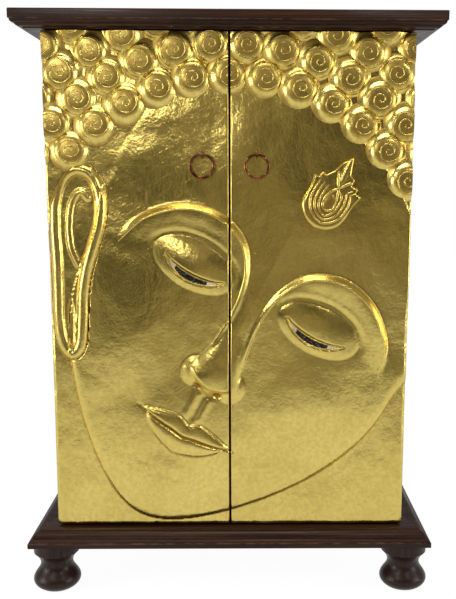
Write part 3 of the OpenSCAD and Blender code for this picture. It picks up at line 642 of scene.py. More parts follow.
@dataclass(frozen=True)
class Steel(Finish):
    """Plated steel of hinges, plates, screws and nails."""

    name: str = "plated_steel"
    slot: str = "hinge_steel"
    metallic: float = 1.0
    bright: Colour = (0.62, 0.60, 0.56)
    dull: Colour = (0.36, 0.345, 0.32)

    def paint(self, tree: ShaderTree, where: NodeSocket) -> Sockets:
        """Clouds the plating and draws it lengthwise."""
        patches = effect(tree, speckle, where, patch_scale=60.0, fleck_scale=900.0)["Patches"]
        drawn = tree.noise(tree.stretched(where, (30.0, 30.0, 1.5)), 40.0, 3.0, 0.6)
        return self.surface(tree.mix(tree.times(patches, 0.8), self.bright, self.dull),
                            tree.scaled(drawn, 0.3, 0.7, (0.28, 0.46)), tree.bumps(drawn, 0.2, 0.0001))


@dataclass(frozen=True)
class MouldedPlastic(Finish):
    """Brown moulded plastic of the magnetic catches."""

    name: str = "moulded_plastic"
    slot: str = "catch_plastic"
    brown: Colour = (0.045, 0.024, 0.016)
    dusty: Colour = (0.085, 0.055, 0.042)

    def paint(self, tree: ShaderTree, where: NodeSocket) -> Sockets:
        """Gives the plastic a fine moulded grain."""
        made = effect(tree, speckle, where, patch_scale=50.0, fleck_scale=1400.0)
        flecks = made["Flecks"]
        return self.surface(tree.mix(tree.times(made["Patches"], 0.5), self.brown, self.dusty),
                            tree.scaled(flecks, 0, 1, (0.42, 0.55)), tree.bumps(flecks, 0.2, 0.0001))


@dataclass(frozen=True)
class Ferrite(Finish):
    """Ground grey face of a magnet."""

    name: str = "ground_magnet"
    slot: str = "magnet"
    metallic: float = 0.6
    grey: Colour = (0.12, 0.12, 0.125)
    pale: Colour = (0.24, 0.24, 0.245)

    def paint(self, tree: ShaderTree, where: NodeSocket) -> Sockets:
        """Shows the grinding marks."""
        lines = effect(tree, scratches, where, scale=220.0)["Lines"]
        return self.surface(tree.mix(lines, self.grey, self.pale), tree.scaled(lines, 0, 1, (0.5, 0.36)),
                            tree.bumps(lines, 0.3, 0.0001))


@dataclass(frozen=True)
class ShellInlay(Finish):
    """Pinkish white shell, cut in small pieces that shine in turn."""

    name: str = "cut_shell"
    slot: str = "shell_inlay"
    specular: float = 0.6
    white: Colour = (0.86, 0.78, 0.72)
    pink: Colour = (0.74, 0.56, 0.52)
    joint: Colour = (0.22, 0.15, 0.12)
    scale: float = 240.0

    def paint(self, tree: ShaderTree, where: NodeSocket) -> Sockets:
        """Varies the shell from piece to piece, with dark joints between."""
        tone = tree.cells(where, self.scale)
        sockets = {"Vector": where, "Scale": self.scale}
        gap = tree.out("ShaderNodeTexVoronoi", sockets, feature="DISTANCE_TO_EDGE")
        colour = tree.mix(tone, self.white, self.pink)
        colour = tree.mix(tree.times(tree.scaled(gap, 0.0, 0.08, (1, 0)), 0.5), colour, self.joint)
        return self.surface(colour, tree.scaled(tone, 0, 1, (0.16, 0.34)), tree.bumps(gap, 0.2, 0.0003))


@dataclass(frozen=True)
class BlackInlay(Finish):
    """Black inlay with glittering flecks."""

    name: str = "black_glitter"
    slot: str = "dark_inlay"
    specular: float = 0.3
    black: Colour = (0.006, 0.005, 0.005)
    fleck: Colour = (0.24, 0.22, 0.20)

    def paint(self, tree: ShaderTree, where: NodeSocket) -> Sockets:
        """Scatters bright flecks in the black."""
        tone = tree.cells(where, 900.0)
        spark = tree.scaled(tone, 0.8, 0.96)
        return self.surface(tree.mix(spark, self.black, self.fleck), tree.scaled(tone, 0, 1, (0.15, 0.38)),
                            tree.bumps(tone, 0.4, 0.0003), Metallic=spark)


GOLD = GoldLeaf()
CURL_GOLD = GoldLeaf(name="rubbed_gold_leaf_on_curls", creases=0.6, roughness=(0.19, 0.24))
WOOD_X = StainedWood()
WOOD_Y = StainedWood(name="stained_wood_crossways", axis=Axis.Y)
WOOD_Z = StainedWood(name="stained_wood_upright", axis=Axis.Z)
TURNED_WOOD = StainedWood(name="stained_wood_turned", axis=Axis.Z, light=(0.038, 0.0130, 0.0072),
                          specular=0.26, gloss=(0.27, 0.38))
INNER_WOOD = StainedWood(name="stained_wood_inside", axis=Axis.Z, light=(0.09, 0.05, 0.034),
                         gloss=(0.5, 0.66))
PLY = BareWood()
DOWEL_WOOD = BareWood(name="bare_dowel_wood", slot="dowel_wood", light=(0.66, 0.46, 0.27),
                      dark=(0.5, 0.33, 0.18))
COPPER = OldCopper()
STEEL = Steel()


class GeometryTree(ShaderTree):
    """A Geometry Nodes tree with named inputs, run on a mesh and turned into a plain one."""

    kinds = {float: "Float", int: "Int", tuple: "Vector", Material: "Material", Object: "Object"}

    def __init__(self, name: str, **inputs: Any) -> None:
        """Starts the tree.

        Args:
            name: The tree's name.
            **inputs: Its inputs' names and their values for this use, one of them the finish.
        """
        super().__init__(bpy.data.node_groups.new(name, "GeometryNodeTree"))
        face = self.tree.interface
        for way in ("OUTPUT", "INPUT"):
            face.new_socket(name="Geometry", in_out=way, socket_type="NodeSocketGeometry")
        self.values: dict[str, Any] = {}
        for word, value in inputs.items():
            kind = f"NodeSocket{self.kinds[type(value)]}"
            socket = face.new_socket(name=titled(word), in_out="INPUT", socket_type=kind)
            self.values[socket.identifier] = value
        self.inlet = self.node("NodeGroupInput").outputs

    def __getitem__(self, word: str) -> NodeSocket:
        """The input of that name."""
        return self.inlet[word]

    def vector(self, x: Any, y: Any, z: Any) -> NodeSocket:
        """A vector from its three parts."""
        return self.out("ShaderNodeCombineXYZ", {0: x, 1: y, 2: z})

    def random(self, low: float, high: float, seed: Any) -> NodeSocket:
        """A random number for each point."""
        sockets = {2: low, 3: high, "ID": self.out("GeometryNodeInputIndex"), "Seed": seed}
        return self.node("FunctionNodeRandomValue", sockets, data_type="FLOAT").outputs[1]

    def rotation(self, x: Any, y: Any, z: Any) -> NodeSocket:
        """A rotation from its three angles."""
        return self.out("FunctionNodeEulerToRotation", {0: self.vector(x, y, z)})

    def spun(self, aim: NodeSocket, own: NodeSocket) -> NodeSocket:
        """A rotation followed by one of the piece's own."""
        return self.out("FunctionNodeRotateRotation", {0: aim, 1: own}, rotation_space="LOCAL")

    def placed(self, spots: NodeSocket, **sockets: Any) -> NodeSocket:
        """The incoming mesh set on points."""
        named = {titled(word): value for word, value in sockets.items()}
        named |= {"Points": spots, "Instance": self["Geometry"]}
        return self.out("GeometryNodeInstanceOnPoints", named)

    def run(self, name: str, geometry: NodeSocket, start: Mesh) -> Mesh:
        """Ends the tree in Realize Instances and Set Material and runs it.

        Args:
            name: Name of the mesh that comes out.
            geometry: What the tree has made.
            start: The mesh that goes in.

        Returns:
            The result as a plain mesh.
        """
        real = self.out("GeometryNodeRealizeInstances", {"Geometry": geometry})
        done = self.out("GeometryNodeSetMaterial", {"Geometry": real, "Material": self["Finish"]})
        self.node("NodeGroupOutput", {0: done})
        return modified(name, start, "NODES", self.values, node_group=self.tree)


def swept_line(name: str, points: Grid, radius: float, finish: Finish, closed: bool = False,
               ends: Pair = (1.0, 1.0), sides: int = 10) -> Mesh:
    """Round bar along a path, made by Geometry Nodes.

    Args:
        name: Name of the mesh.
        points: The path in millimetres, one point a row.
        radius: Radius of the bar.
        finish: Its finish.
        closed: Whether the path closes on itself.
        ends: Share of the radius at the path's start and at its end.
        sides: How many faces go round.

    Returns:
        The bar's mesh.
    """
    n = len(points)
    start = mesh_from(name, points, [], [(i, (i + 1) % n) for i in range(n if closed else n - 1)])
    tree = GeometryTree(f"{name}_sweep", radius=radius * MM, sides=sides, start_share=ends[0],
                        end_share=ends[1], taper_length=0.12, finish=finish.material())
    along = tree.node("GeometryNodeSplineParameter").outputs["Factor"]
    span = tree["Taper Length"]
    grown = tree.out("ShaderNodeMapRange", {"Value": along, "From Max": span, "To Min": tree["Start Share"]})
    shrunk = tree.out("ShaderNodeMapRange", {"Value": along, "From Min": tree.minus(1.0, span), "To Min": 1.0,
                                             "To Max": tree["End Share"]})
    path = tree.out("GeometryNodeMeshToCurve", {"Mesh": tree["Geometry"]})
    ring = tree.out("GeometryNodeCurvePrimitiveCircle",
                    {"Resolution": tree["Sides"], "Radius": tree["Radius"]})
    bar = tree.out("GeometryNodeCurveToMesh", {"Curve": path, "Profile Curve": ring, "Fill Caps": True,
                                               "Scale": tree.math("MINIMUM", grown, shrunk)})
    return dressed(tree.run(name, bar, start), 50)


def settle_eased(name: str, node: str, body: str, ease: float, finish: Finish) -> None:
    """Settles a copy of a node, its loose triangles joined, its edges eased and its narrow faces marked.

    Args:
        name: Name of the new piece.
        node: The node that it copies and stands for.
        body: The body that it rides on.
        ease: Width of the eased edges.
        finish: Its finish.
    """
    mesh = bpy.data.meshes.new(name)
    with edited(mesh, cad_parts[node].data) as work:
        bmesh.ops.remove_doubles(work, verts=work.verts, dist=MERGE_DISTANCE)
        bmesh.ops.dissolve_limit(work, angle_limit=math.radians(1), verts=work.verts, edges=work.edges)
    done = modified(name, mesh, "BEVEL", {}, width=ease * MM, segments=2, limit_method="ANGLE",
                    angle_limit=math.radians(30), use_clamp_overlap=True)
    narrow = []
    for face in done.polygons:
        around = sum((done.vertices[a].co - done.vertices[b].co).length for a, b in face.edge_keys)
        narrow.append(float(2 * face.area / around < 0.9 * ease * MM))
    mark(done, "rim", narrow, "FACE")
    done.materials.clear()
    settle(name, dressed(done, 32, finish), body, finish.slot, node)


@dataclass
class HeadCarving:
    """The relief of both doors, as a height above their flat ground.

    The head is laid out in thirds: hairline to brow, brow to the nose's base, and that to the chin. In the
    head's own directions u runs across the face and v up it. X and Z are those of the doors, Z from their
    bottom edge.
    """

    tilt: float = 28.0
    x: float = 16.0
    z: float = 321.0
    half_h: float = 340.0
    half_w: float = 262.0
    edge_h: float = 5.0
    crown_h: float = 8.0
    rounding: float = 16.0
    brow_h: float = 6.0
    socket_depth: float = 4.2
    lid_h: float = 6.4
    wing_h: float = 6.5
    nose_h: float = 13.8
    lip_h: float = 7.0
    ear_h: float = 10.5
    ear_w: float = 68.0
    ear_len: float = 282.0
    ear_x: float = 264.0
    ear_z: float = 280.0
    hair_h: float = 5.0
    arch_r: float = 310.0
    arch_z: float = 391.0
    hair_edge: float = 16.0

    def __post_init__(self) -> None:
        """Sets out the levels of brow, eyes, nose and mouth, and each brow's line from its outer end."""
        self.cos, self.sin = math.cos(math.radians(self.tilt)), math.sin(math.radians(self.tilt))
        self.third = 2 * self.half_h / 3
        self.brow_v = self.half_h - self.third
        self.nose_v = self.brow_v - self.third
        self.eye_v = self.brow_v - self.third / 4
        self.mouth_v = self.nose_v - self.third / 3
        self.eye_u = 2 * self.half_w / 5
        shares = [(2.16, -0.37), (1.97, -0.14), (1.53, 0.04), (1.03, 0.09), (0.59, 0.02), (0.34, -0.13),
                  (0.24, -0.29), (0.22, -0.44), (0.26, -0.61), (0.32, -0.75), (0.40, -0.87), (0.48, -0.96)]
        self.brow_line = spline([(a * self.eye_u, self.brow_v + b * self.third) for a, b in shares])

    def local(self, x: Grid, z: Grid) -> tuple[Grid, Grid]:
        """A place on the doors in the head's own directions."""
        dx, dz = x - self.x, z - self.z
        return dx * self.cos - dz * self.sin, dx * self.sin + dz * self.cos

    def placed(self, u: Grid, v: Grid) -> tuple[Grid, Grid]:
        """A place in the head's own directions on the doors."""
        return self.x + u * self.cos + v * self.sin, self.z - u * self.sin + v * self.cos

    def outness(self, u: Grid, v: Grid) -> Grid:
        """How far out a point of the face lies: 1 at its outline."""
        low_w = self.half_w * (1 - 0.36 * (v / self.half_h) ** 2)
        width = np.where(v > 0, self.half_w * (1 + 0.14 * smooth(v / (0.47 * self.half_h))), low_w)
        height = self.half_h * np.where(v > 0, 1.2, 1.0)
        power = np.where(v > 0, 3.4, 2.0)
        return (np.abs(u / width) ** power + np.abs(v / height) ** power) ** (1 / power)

    def dome(self, out: Grid, v: Grid) -> Grid:
        """Height of the smooth head without its features; it meets the hair without a step."""
        s = np.clip((1 - out) * 0.48 * (self.half_h + self.half_w) / self.rounding, 0, 1)
        edge = self.edge_h * np.sqrt(1 - (1 - s) ** 2)
        power = 0.8 + 0.9 * smooth(v / (0.3 * self.half_h))
        crown = self.crown_h * np.maximum(0, 1 - np.clip(out, 0, 1) ** 2.4) ** power
        return np.where(out < 1, edge + crown, 0)

    def brows(self, a: Grid, v: Grid) -> Grid:
        """The brow's crest, crisp below, and the hollow under it."""
        gap, run = beside(a, v, self.brow_line)
        gap = -gap
        ends = smooth(run / 0.16)
        over_eye = 1 - smooth((run - 0.42) / 0.2)
        crest = np.where(gap < 0, ridge(gap, 26), ridge(gap, 5.5))
        deep = (gap > 0) * smooth(gap / 9) * ridge(np.maximum(gap - 9, 0), 46) * ends
        # The brow's crest, crisp below, and the sunken socket under it.
        deep = deep * smooth((v - self.nose_v * 0.62) / 60)
        return self.brow_h * ends * over_eye * crest - self.socket_depth * deep

    def lids(self, a: Grid, v: Grid) -> Grid:
        """The lowered lid, with the crease over it."""
        du, dv = a - self.eye_u - 3, v - self.eye_v + 3
        lid = 1.07 * self.lid_h * bump(np.hypot(du / 68, dv / 37), 0.85)
        crease = np.hypot(du / 72, (dv - 1) / 43)
        above = smooth((dv + 8) / 16)
        fold = 0.4 * ridge((crease - 1.14) * 40, 4.0)
        return lid - 0.8 * ridge((crease - 1) * 40, 3.0) * above + fold * above

    def nose(self, u: Grid, v: Grid) -> Grid:
        """The nose: a bridge that widens and rises to the tip and its two wings."""
        a, line = np.abs(u), self.brow_line
        side = line[(line[:, 0] < self.eye_u) & (line[:, 1] < self.brow_v - 0.24 * self.third)][::-1]
        width = np.interp(v, side[:, 1], side[:, 0])
        tip_v = self.nose_v + 24
        t = np.clip((self.eye_v + 7 - v) / (self.eye_v + 7 - tip_v), 0, 1)
        lift = (3.4 + 9.6 * t**1.25) * smooth((self.brow_v - 21 - v) / 50)
        lift = lift * (1 - smooth((self.nose_v + 13 + 26 * (a / 50) ** 2 - v) / 15))
        bridge = lift * np.maximum(0, 1 - (a / width) ** 2.8) ** 0.62 * (a < width)
        wing = self.wing_h * bump(np.hypot((a - 30) / 24, (v - tip_v) / 26), 1.0)
        tip = self.nose_h * bump(np.hypot(u / 30, (v - tip_v - 4) / 30), 0.62)
        soft = 3.5
        whole = blended_max(bridge, blended_max(wing, tip, soft), soft)
        most = np.maximum(bridge, np.maximum(wing, tip))
        whole = np.maximum(0, whole - soft / 4 * (1 - np.clip(most / soft, 0, 1)))
        return whole - 3.0 * bump(np.hypot((a - 17) / 10, (v - self.nose_v - 3) / 5), 0.8)

    def lips(self, u: Grid) -> tuple[Grid, Grid, Grid]:
        """Levels of the line between the lips, of the upper lip's edge and of the lower lip's."""
        k, k2 = np.clip(np.abs(u) / 80, 0, 1), np.clip(np.abs(u) / 68, 0, 1)
        mid = self.mouth_v + 10 * k**2.2 - 3.0 * ridge(u, 14)
        return mid, mid + 27 * (1 - k**1.8) - 6 * ridge(u, 10), mid - 33 * (1 - k2**2) ** 0.75

    def mouth(self, u: Grid, v: Grid) -> Grid:
        """Two full lips that close on a curved line, and the groove over them."""
        a = np.abs(u)
        groove = smooth((self.nose_v - 2 - v) / 8) * smooth((v - self.mouth_v - 20) / 12)
        h = groove * (1.6 * ridge(a - 11, 6) - 1.0 * ridge(u, 6))
        mid, top, low = self.lips(u)
        k, k2 = np.clip(a / 80, 0, 1), np.clip(a / 68, 0, 1)
        upper = np.clip((v - mid) / np.maximum(top - mid, 0.5), 0, 1)
        lower = np.clip((mid - v) / np.maximum(mid - low, 0.5), 0, 1)
        h += 0.89 * self.lip_h * np.where((v >= mid) & (a < 80), (1 - upper**2.2) ** 0.6, 0) * (1 - k**5)
        full = np.sin(np.pi * lower**0.8) ** 0.55
        h += self.lip_h * np.where((v < mid) & (lower < 1) & (a < 68), full, 0) * (1 - k2**4)
        h -= 2.0 * ridge(v - mid, 2.2) * smooth((88 - a) / 12)
        return h - 1.6 * ridge(np.hypot(a - 92, v - self.mouth_v - 8), 20)

    def fullness(self, u: Grid, v: Grid) -> Grid:
        """The soft rise round the mouth and of the chin and cheeks."""
        h = 2.5 * bump(np.hypot(u / 120, (v - self.mouth_v - 4) / 78), 1.2)
        h += 5.0 * ridge(np.hypot(u, v - self.nose_v + 0.74 * self.third), 46)
        h -= 1.5 * ridge(np.hypot(u / 1.8, v - self.mouth_v + 42), 17)
        return h + 4.5 * ridge(np.hypot(np.abs(u) - 142, (v + 62) / 1.15), 66)

    def face(self, x: Grid, z: Grid) -> tuple[Grid, Grid]:
        """Height of the face, and how far out each point lies."""
        u, v = self.local(x, z)
        a, out = np.abs(u), self.outness(u, v)
        h = self.dome(out, v) + self.brows(a, v) + self.lids(a, v)
        h += self.nose(u, v) + self.mouth(u, v) + self.fullness(u, v)
        return np.where(out < 1, np.maximum(h, 0.4), 0), out

    def on_ear(self, shares: Sequence[Pair]) -> list[Pair]:
        """Places on the doors from shares of the ear's width and height."""
        return [(sx * self.ear_w - self.ear_x, sz * self.ear_len + self.ear_z) for sx, sz in shares]

    def ear(self, x: Grid, z: Grid) -> tuple[Grid, Grid]:
        """Height of the ear, and where it is: a rim, an inner fold and a long slit lobe."""
        shares = [(0.85, 0.60), (1, 0.73), (1, 0.87), (0.82, 0.97), (0.5, 1), (0.2, 0.95), (0.03, 0.83),
                  (0, 0.67), (0.03, 0.51), (0.03, 0.34), (0.03, 0.18), (0.12, 0.06), (0.31, 0), (0.5, 0.05),
                  (0.56, 0.18), (0.59, 0.33), (0.68, 0.46)]
        fold = [(0.74, 0.85), (0.56, 0.88), (0.38, 0.82), (0.31, 0.70), (0.35, 0.58), (0.5, 0.49)]
        rim = spline(self.on_ear(shares), closed=True)
        gap, inside = edge_gap(x, z, rim), within(x, z, rim)
        inner = np.abs(beside(x, z, spline(self.on_ear(fold)))[0])
        h = np.maximum(np.where(inside, 4.0, 0), self.ear_h * bump(gap / 10, 0.55))
        h = np.maximum(h, np.where(inside, 7.5 * bump(inner / 7, 0.55), 0))
        slit = np.hypot((x + self.ear_x - 0.31 * self.ear_w) / 6, (z - self.ear_z - 50) / 38)
        return np.maximum(h - 3.5 * bump(slit, 0.8), 0), inside | (gap < 10)

    def height(self, x: Grid, z: Grid) -> Grid:
        """Height of the whole carving, but for the curls and the ornament that are pieces of their own."""
        face, out = self.face(x, z)
        ear, on_ear = self.ear(x, z)
        h = np.where(on_ear, ear + np.where(out < 1, 3.0, 0.0), face)
        up = z - self.arch_z
        hair = (np.hypot(x, up) > self.arch_r - self.hair_edge) & (up > -40)
        by_ear = x < self.ear_w - self.ear_x + 70
        lock = self.hair_h * smooth((z - self.ear_z - 0.5 * self.ear_len) / 70) * by_ear
        return np.where(hair, self.hair_h, np.where(on_ear, h, np.maximum(h, lock)))


@dataclass
class OnDoor:
    """Something on one door: its side and the carving that it takes part in."""

    side: Side
    carving: HeadCarving

    def __post_init__(self) -> None:
        """Reads the door's place from the frame."""
        self.body = self.side.node("door")
        self.low, self.high = node_box(self.body)
        self.ground = self.high.y - DOOR_THICK


@dataclass
class CarvedDoor(OnDoor):
    """One door: its carved skin, its edges and its back, with room for the hinge knuckles.

    The sections run across the door, one above the other, and each goes round the whole door.
    """

    step: float = 1.6
    ease: float = 1.0
    notch_r: float = 3.2
    notch_reach: float = 1.0
    pin_out: float = 0.8
    pin_back: float = 1.2
    pocket_drop: float = 1.4
    pocket_margin: float = 1.2
    pocket_lip: float = 9.0
    crevice: float = 3.4
    side_round: float = 4.5
    seam_round: float = 1.6
    foot_round: float = 5.0
    wear: float = 1.9
    corner_r: float = 7.0
    chips: tuple[float, ...] = (-252, -214, -171, -118, -64, -23, 38, 92, 131, 187, 226, 261)

    def pocket(self, x: Grid, z: Grid, h: Grid) -> Grid:
        """Lowers the surface under the eye's inlay."""
        inlay = EyeInlay(self.side, self.carving)
        depth = self.ground - inlay.face_y - self.pocket_drop
        edge, lip = inlay.outline(), self.pocket_lip
        gap = edge_gap(x, z, edge)
        near = within(x, z, edge) | (gap < self.pocket_margin)
        raised = np.where(~near & (gap < lip), np.minimum(h, depth + 1.6 + smooth(gap / lip) * lip), h)
        return np.where(near, np.minimum(h, depth), raised)

    def corner(self, notched: bool) -> list[Pair]:
        """The five points round the outer back corner, as distances in from the side and from the back."""
        if not notched:
            return [(0, 1.9), (0, 0.8), (0.23, 0.23), (0.8, 0), (2.17, 0)]
        ends = math.asin(self.pin_out / self.notch_r), math.acos(self.pin_back / self.notch_r)
        return [(self.notch_r * math.sin(a) - self.pin_out, self.notch_r * math.cos(a) - self.pin_back)
                for a in np.linspace(*ends, 5)]

    def worn_in(self, s: Grid, phase: float) -> Grid:
        """How far an edge is worn in, from 0 to 1, along its length."""
        waves = np.sin(s / 23 + phase) + 0.8 * np.sin(s / 9.7 + 2.1 * phase)
        waves += 0.6 * np.sin(s / 4.3 + 3.7 * phase)
        return np.clip(0.42 + 0.2 * waves, 0, 1)

    def rims(self, x: Grid, z: Grid, h: Grid) -> tuple[Grid, Grid, Grid]:
        """Rounds and wears the front's rims, as hands and knocks leave them.

        Args:
            x: X of the front's points.
            z: Their Z.
            h: Their height above the ground.

        Returns:
            The three, with the rims worn in.
        """
        way = self.side.value
        outer, seam = (self.low.x, self.high.x)[::-way]
        to_side, to_seam, up = np.abs(x - outer), np.abs(x - seam), z - self.low.z
        hair = smooth((up - self.carving.arch_z + 60) / 40)
        h = h.copy()
        for gap, radius in ((to_side, self.side_round * (1 - 0.6 * hair)), (to_seam, self.seam_round),
                            (up, self.foot_round)):
            t = np.clip(1 - gap / radius, 0, 1)
            h -= radius * (1 - np.sqrt(1 - t * t)) * 0.8
        near_side = smooth(1 - to_side / 14)
        inward = self.wear * self.worn_in(z, 1.0 + way) * near_side * (1 - 0.5 * hair)
        bend = np.clip(1 - up / self.corner_r, 0, 1)
        inward = inward + self.corner_r * 0.55 * (1 - np.sqrt(1 - bend * bend)) * near_side
        upward = self.wear * 0.8 * self.worn_in(x, 2.6)
        for at in self.chips:
            upward = upward + (1.2 + 0.9 * math.sin(at)) * ridge(x - at, 2.2 + 1.2 * math.cos(at))
        return x - way * inward, z + upward * smooth(1 - up / 11), h

    def section(self, xs: Grid, h: Grid, notched: bool, shrink: float) -> list[Pair]:
        """One section round the door, as X and Y, from the front's low X end round to the back.

        Args:
            xs: X of the points of the carved front.
            h: Height of each above the ground.
            notched: Whether the hinge's knuckles need room here.
            shrink: How far the section stays inside the full one.

        Returns:
            The points, all round once, seen from above counter-clockwise.
        """
        front = [(x, self.ground - value) for x, value in zip(xs, h)]
        x0, x1, back = self.low.x + shrink, self.high.x - shrink, self.high.y - shrink
        plain = [(0, 2.0), (0, 0.8), (0.23, 0.23), (0.8, 0), (2.0, 0)]
        left, right = (self.corner(notched), plain)[::-self.side.value]
        return [*front, (x1, front[-1][1] + self.ease), (x1, (front[-1][1] + back) / 2),
                *((x1 - inward, back - ahead) for inward, ahead in right), ((x0 + x1) / 2, back),
                *((x0 + inward, back - ahead) for inward, ahead in reversed(left)),
                (x0, (front[0][1] + back) / 2), (x0, front[0][1] + self.ease)]

    def build(self) -> None:
        """Makes the door's mesh and dresses it."""
        nx = round((self.high.x - self.low.x) / self.step)
        nz = round((self.high.z - self.low.z) / self.step)
        xs = np.linspace(self.low.x + self.ease, self.high.x - self.ease, nx + 1)
        inner_z = np.linspace(self.low.z + self.ease, self.high.z - self.ease, nz - 1)
        zs = np.concatenate([[self.low.z], inner_z, [self.high.z]])
        grid_x, grid_z = np.meshgrid(xs, zs)
        h = self.pocket(grid_x, grid_z, self.carving.height(grid_x, grid_z - self.low.z))
        # Painted shade: each point's depth below its blurred neighbours marks shade in the hollows, which the
        # leaf paints darker.
        reach = max(1, round(self.crevice / self.step))
        hollow = np.clip((blurred(blurred(h, reach), reach) - h) / 1.1 - 0.25, 0, 1)
        front_x, front_z, h = self.rims(grid_x, grid_z, h)
        h[0] = h[1] - self.ease
        h[-1] = h[-2] - self.ease
        leaves = [node_box(self.side.node(f"{level}_hinge_door_leaf")) for level in ("upper", "lower")]
        sections = []
        for row, z in enumerate(zs):
            notched = any(a.z - self.notch_reach < z < b.z + self.notch_reach for a, b in leaves)
            shrink = self.ease * 0.4 if row in (0, len(zs) - 1) else 0.0
            sections.append(self.section(front_x[row], h[row], notched, shrink))
        rings = np.array(sections)
        rows, count = rings.shape[:2]
        levels = np.repeat(zs[:, None], count, axis=1)
        levels[:, :nx + 1] = front_z
        faces = tube_faces(rows, count)
        faces += [tuple(range(count - 1, -1, -1)), tuple(range((rows - 1) * count, rows * count))]
        name = self.side.node("carved_door")
        mesh = mesh_from(name, np.dstack([rings, levels]).reshape(-1, 3), faces)
        with edited(mesh) as work:
            bmesh.ops.triangulate(work, faces=[f for f in work.faces if len(f.verts) > 4])
        values = np.zeros((rows, count))
        values[:, :nx + 1] = hollow
        mark(mesh, "hollow", values)
        dressed(mesh, 62, GOLD, INNER_WOOD)
        for face in mesh.polygons:
            face.material_index = int(face.normal.y > 0.5)
        settle(name, mesh, self.body, "gold_leaf", self.body)


@dataclass
class EyeInlay(OnDoor):
    """A crescent of shell with a dark middle, set in the lid and edged by a raised gilt line."""

    width: float = 100.0
    sag: float = 21.0
    mid_h: float = 10.0
    line_r: float = 1.1
    line_rise: float = 0.8

    def __post_init__(self) -> None:
        """Reads the inlay's place from the frame."""
        super().__post_init__()
        self.face_y = node_box(self.side.node("eye_shell"))[0].y

    def lines(self) -> list[Grid]:
        """X and Z of the lower and the upper edge: arcs that hang between the inlay's two corners."""
        half, head, both = self.width / 2, self.carving, []
        for sag in (self.sag, self.sag - self.mid_h):
            r = (half**2 + sag**2) / (2 * sag)
            a = np.linspace(-1, 1, 25) * math.asin(half / r)
            level = head.eye_v - 0.031 * head.third
            x, z = head.placed(self.side.value * head.eye_u + r * np.sin(a), level + r - sag - r * np.cos(a))
            both.append(np.stack([x, z + self.low.z], 1))
        return both

    def outline(self) -> Grid:
        """The whole edge of the inlay, once round."""
        low, top = self.lines()
        return np.vstack([low, top[-2:0:-1]])

    def build(self) -> None:
        """Makes the shell corners, the dark middle and the gilt lines round them."""
        for part, finish in (("eye_shell", ShellInlay()), ("eye_pupil", BlackInlay())):
            node = self.side.node(part)
            settle_eased(f"{node}_inlay", node, self.body, 0.35, finish)
        bars = []
        for word, line, share in zip(("lower", "upper"), self.lines(), (1.3, 1.0)):
            points = np.insert(line, 1, self.face_y - self.line_rise, axis=1)
            bars.append(swept_line(self.side.node(f"{word}_lid_line"), points, share * self.line_r, GOLD))
        name = self.side.node("lid_lines")
        settle(name, joined(name, bars), self.body, "gold_leaf")


@dataclass
class RaisedLines(OnDoor):
    """Slim crisp ridges that follow the carving's main lines over one door."""

    radius: float = 1.7
    sink: float = 0.75
    taper: float = 0.16
    margin: float = 1.2

    def paths(self) -> list[tuple[str, Grid, float]]:
        """Name, places on the doors and share of the full radius of each line."""
        head, rows = self.carving, []
        brow = head.brow_line[head.brow_line[:, 1] > head.nose_v + 20]
        for word, mirror in (("first", -1), ("second", 1)):
            rows.append((f"{word}_brow_line", np.stack(head.placed(mirror * brow[:, 0], brow[:, 1]), 1), 1.0))
        for word, half, edge in (("upper", 78, 1), ("lower", 66, 2)):
            u = np.linspace(-half, half, 40)
            rows.append((f"{word}_lip_line", np.stack(head.placed(u, head.lips(u)[edge]), 1), 0.62))
        return rows

    @staticmethod
    def stretches(inside: Grid) -> list[Grid]:
        """Numbers of a path's points in each unbroken stretch that lies on the door."""
        numbers = np.flatnonzero(inside)
        parts = np.split(numbers, np.flatnonzero(np.diff(numbers) > 1) + 1)
        return [part for part in parts if len(part) > 2]

    def build(self) -> None:
        """Sweeps every line that crosses this door, cut at the door's edges."""
        meshes = []
        for word, path, share in self.paths():
            inside = (path[:, 0] > self.low.x + self.margin) & (path[:, 0] < self.high.x - self.margin)
            radius = self.radius * share
            for part, run in enumerate(self.stretches(inside)):
                x, z = path[run].T
                y = self.ground - evened(self.carving.height(x, z)) + radius * (self.sink - 0.5)
                ends = (self.taper if run[0] == 0 else 1.0, self.taper if run[-1] == len(path) - 1 else 1.0)
                points = np.stack([x, y, z + self.low.z], 1)
                meshes.append(swept_line(self.side.node(f"{word}_{part}"), points, radius, GOLD, ends=ends))
        name = self.side.node("carved_lines")
        settle(name, joined(name, meshes), self.body, "gold_leaf")


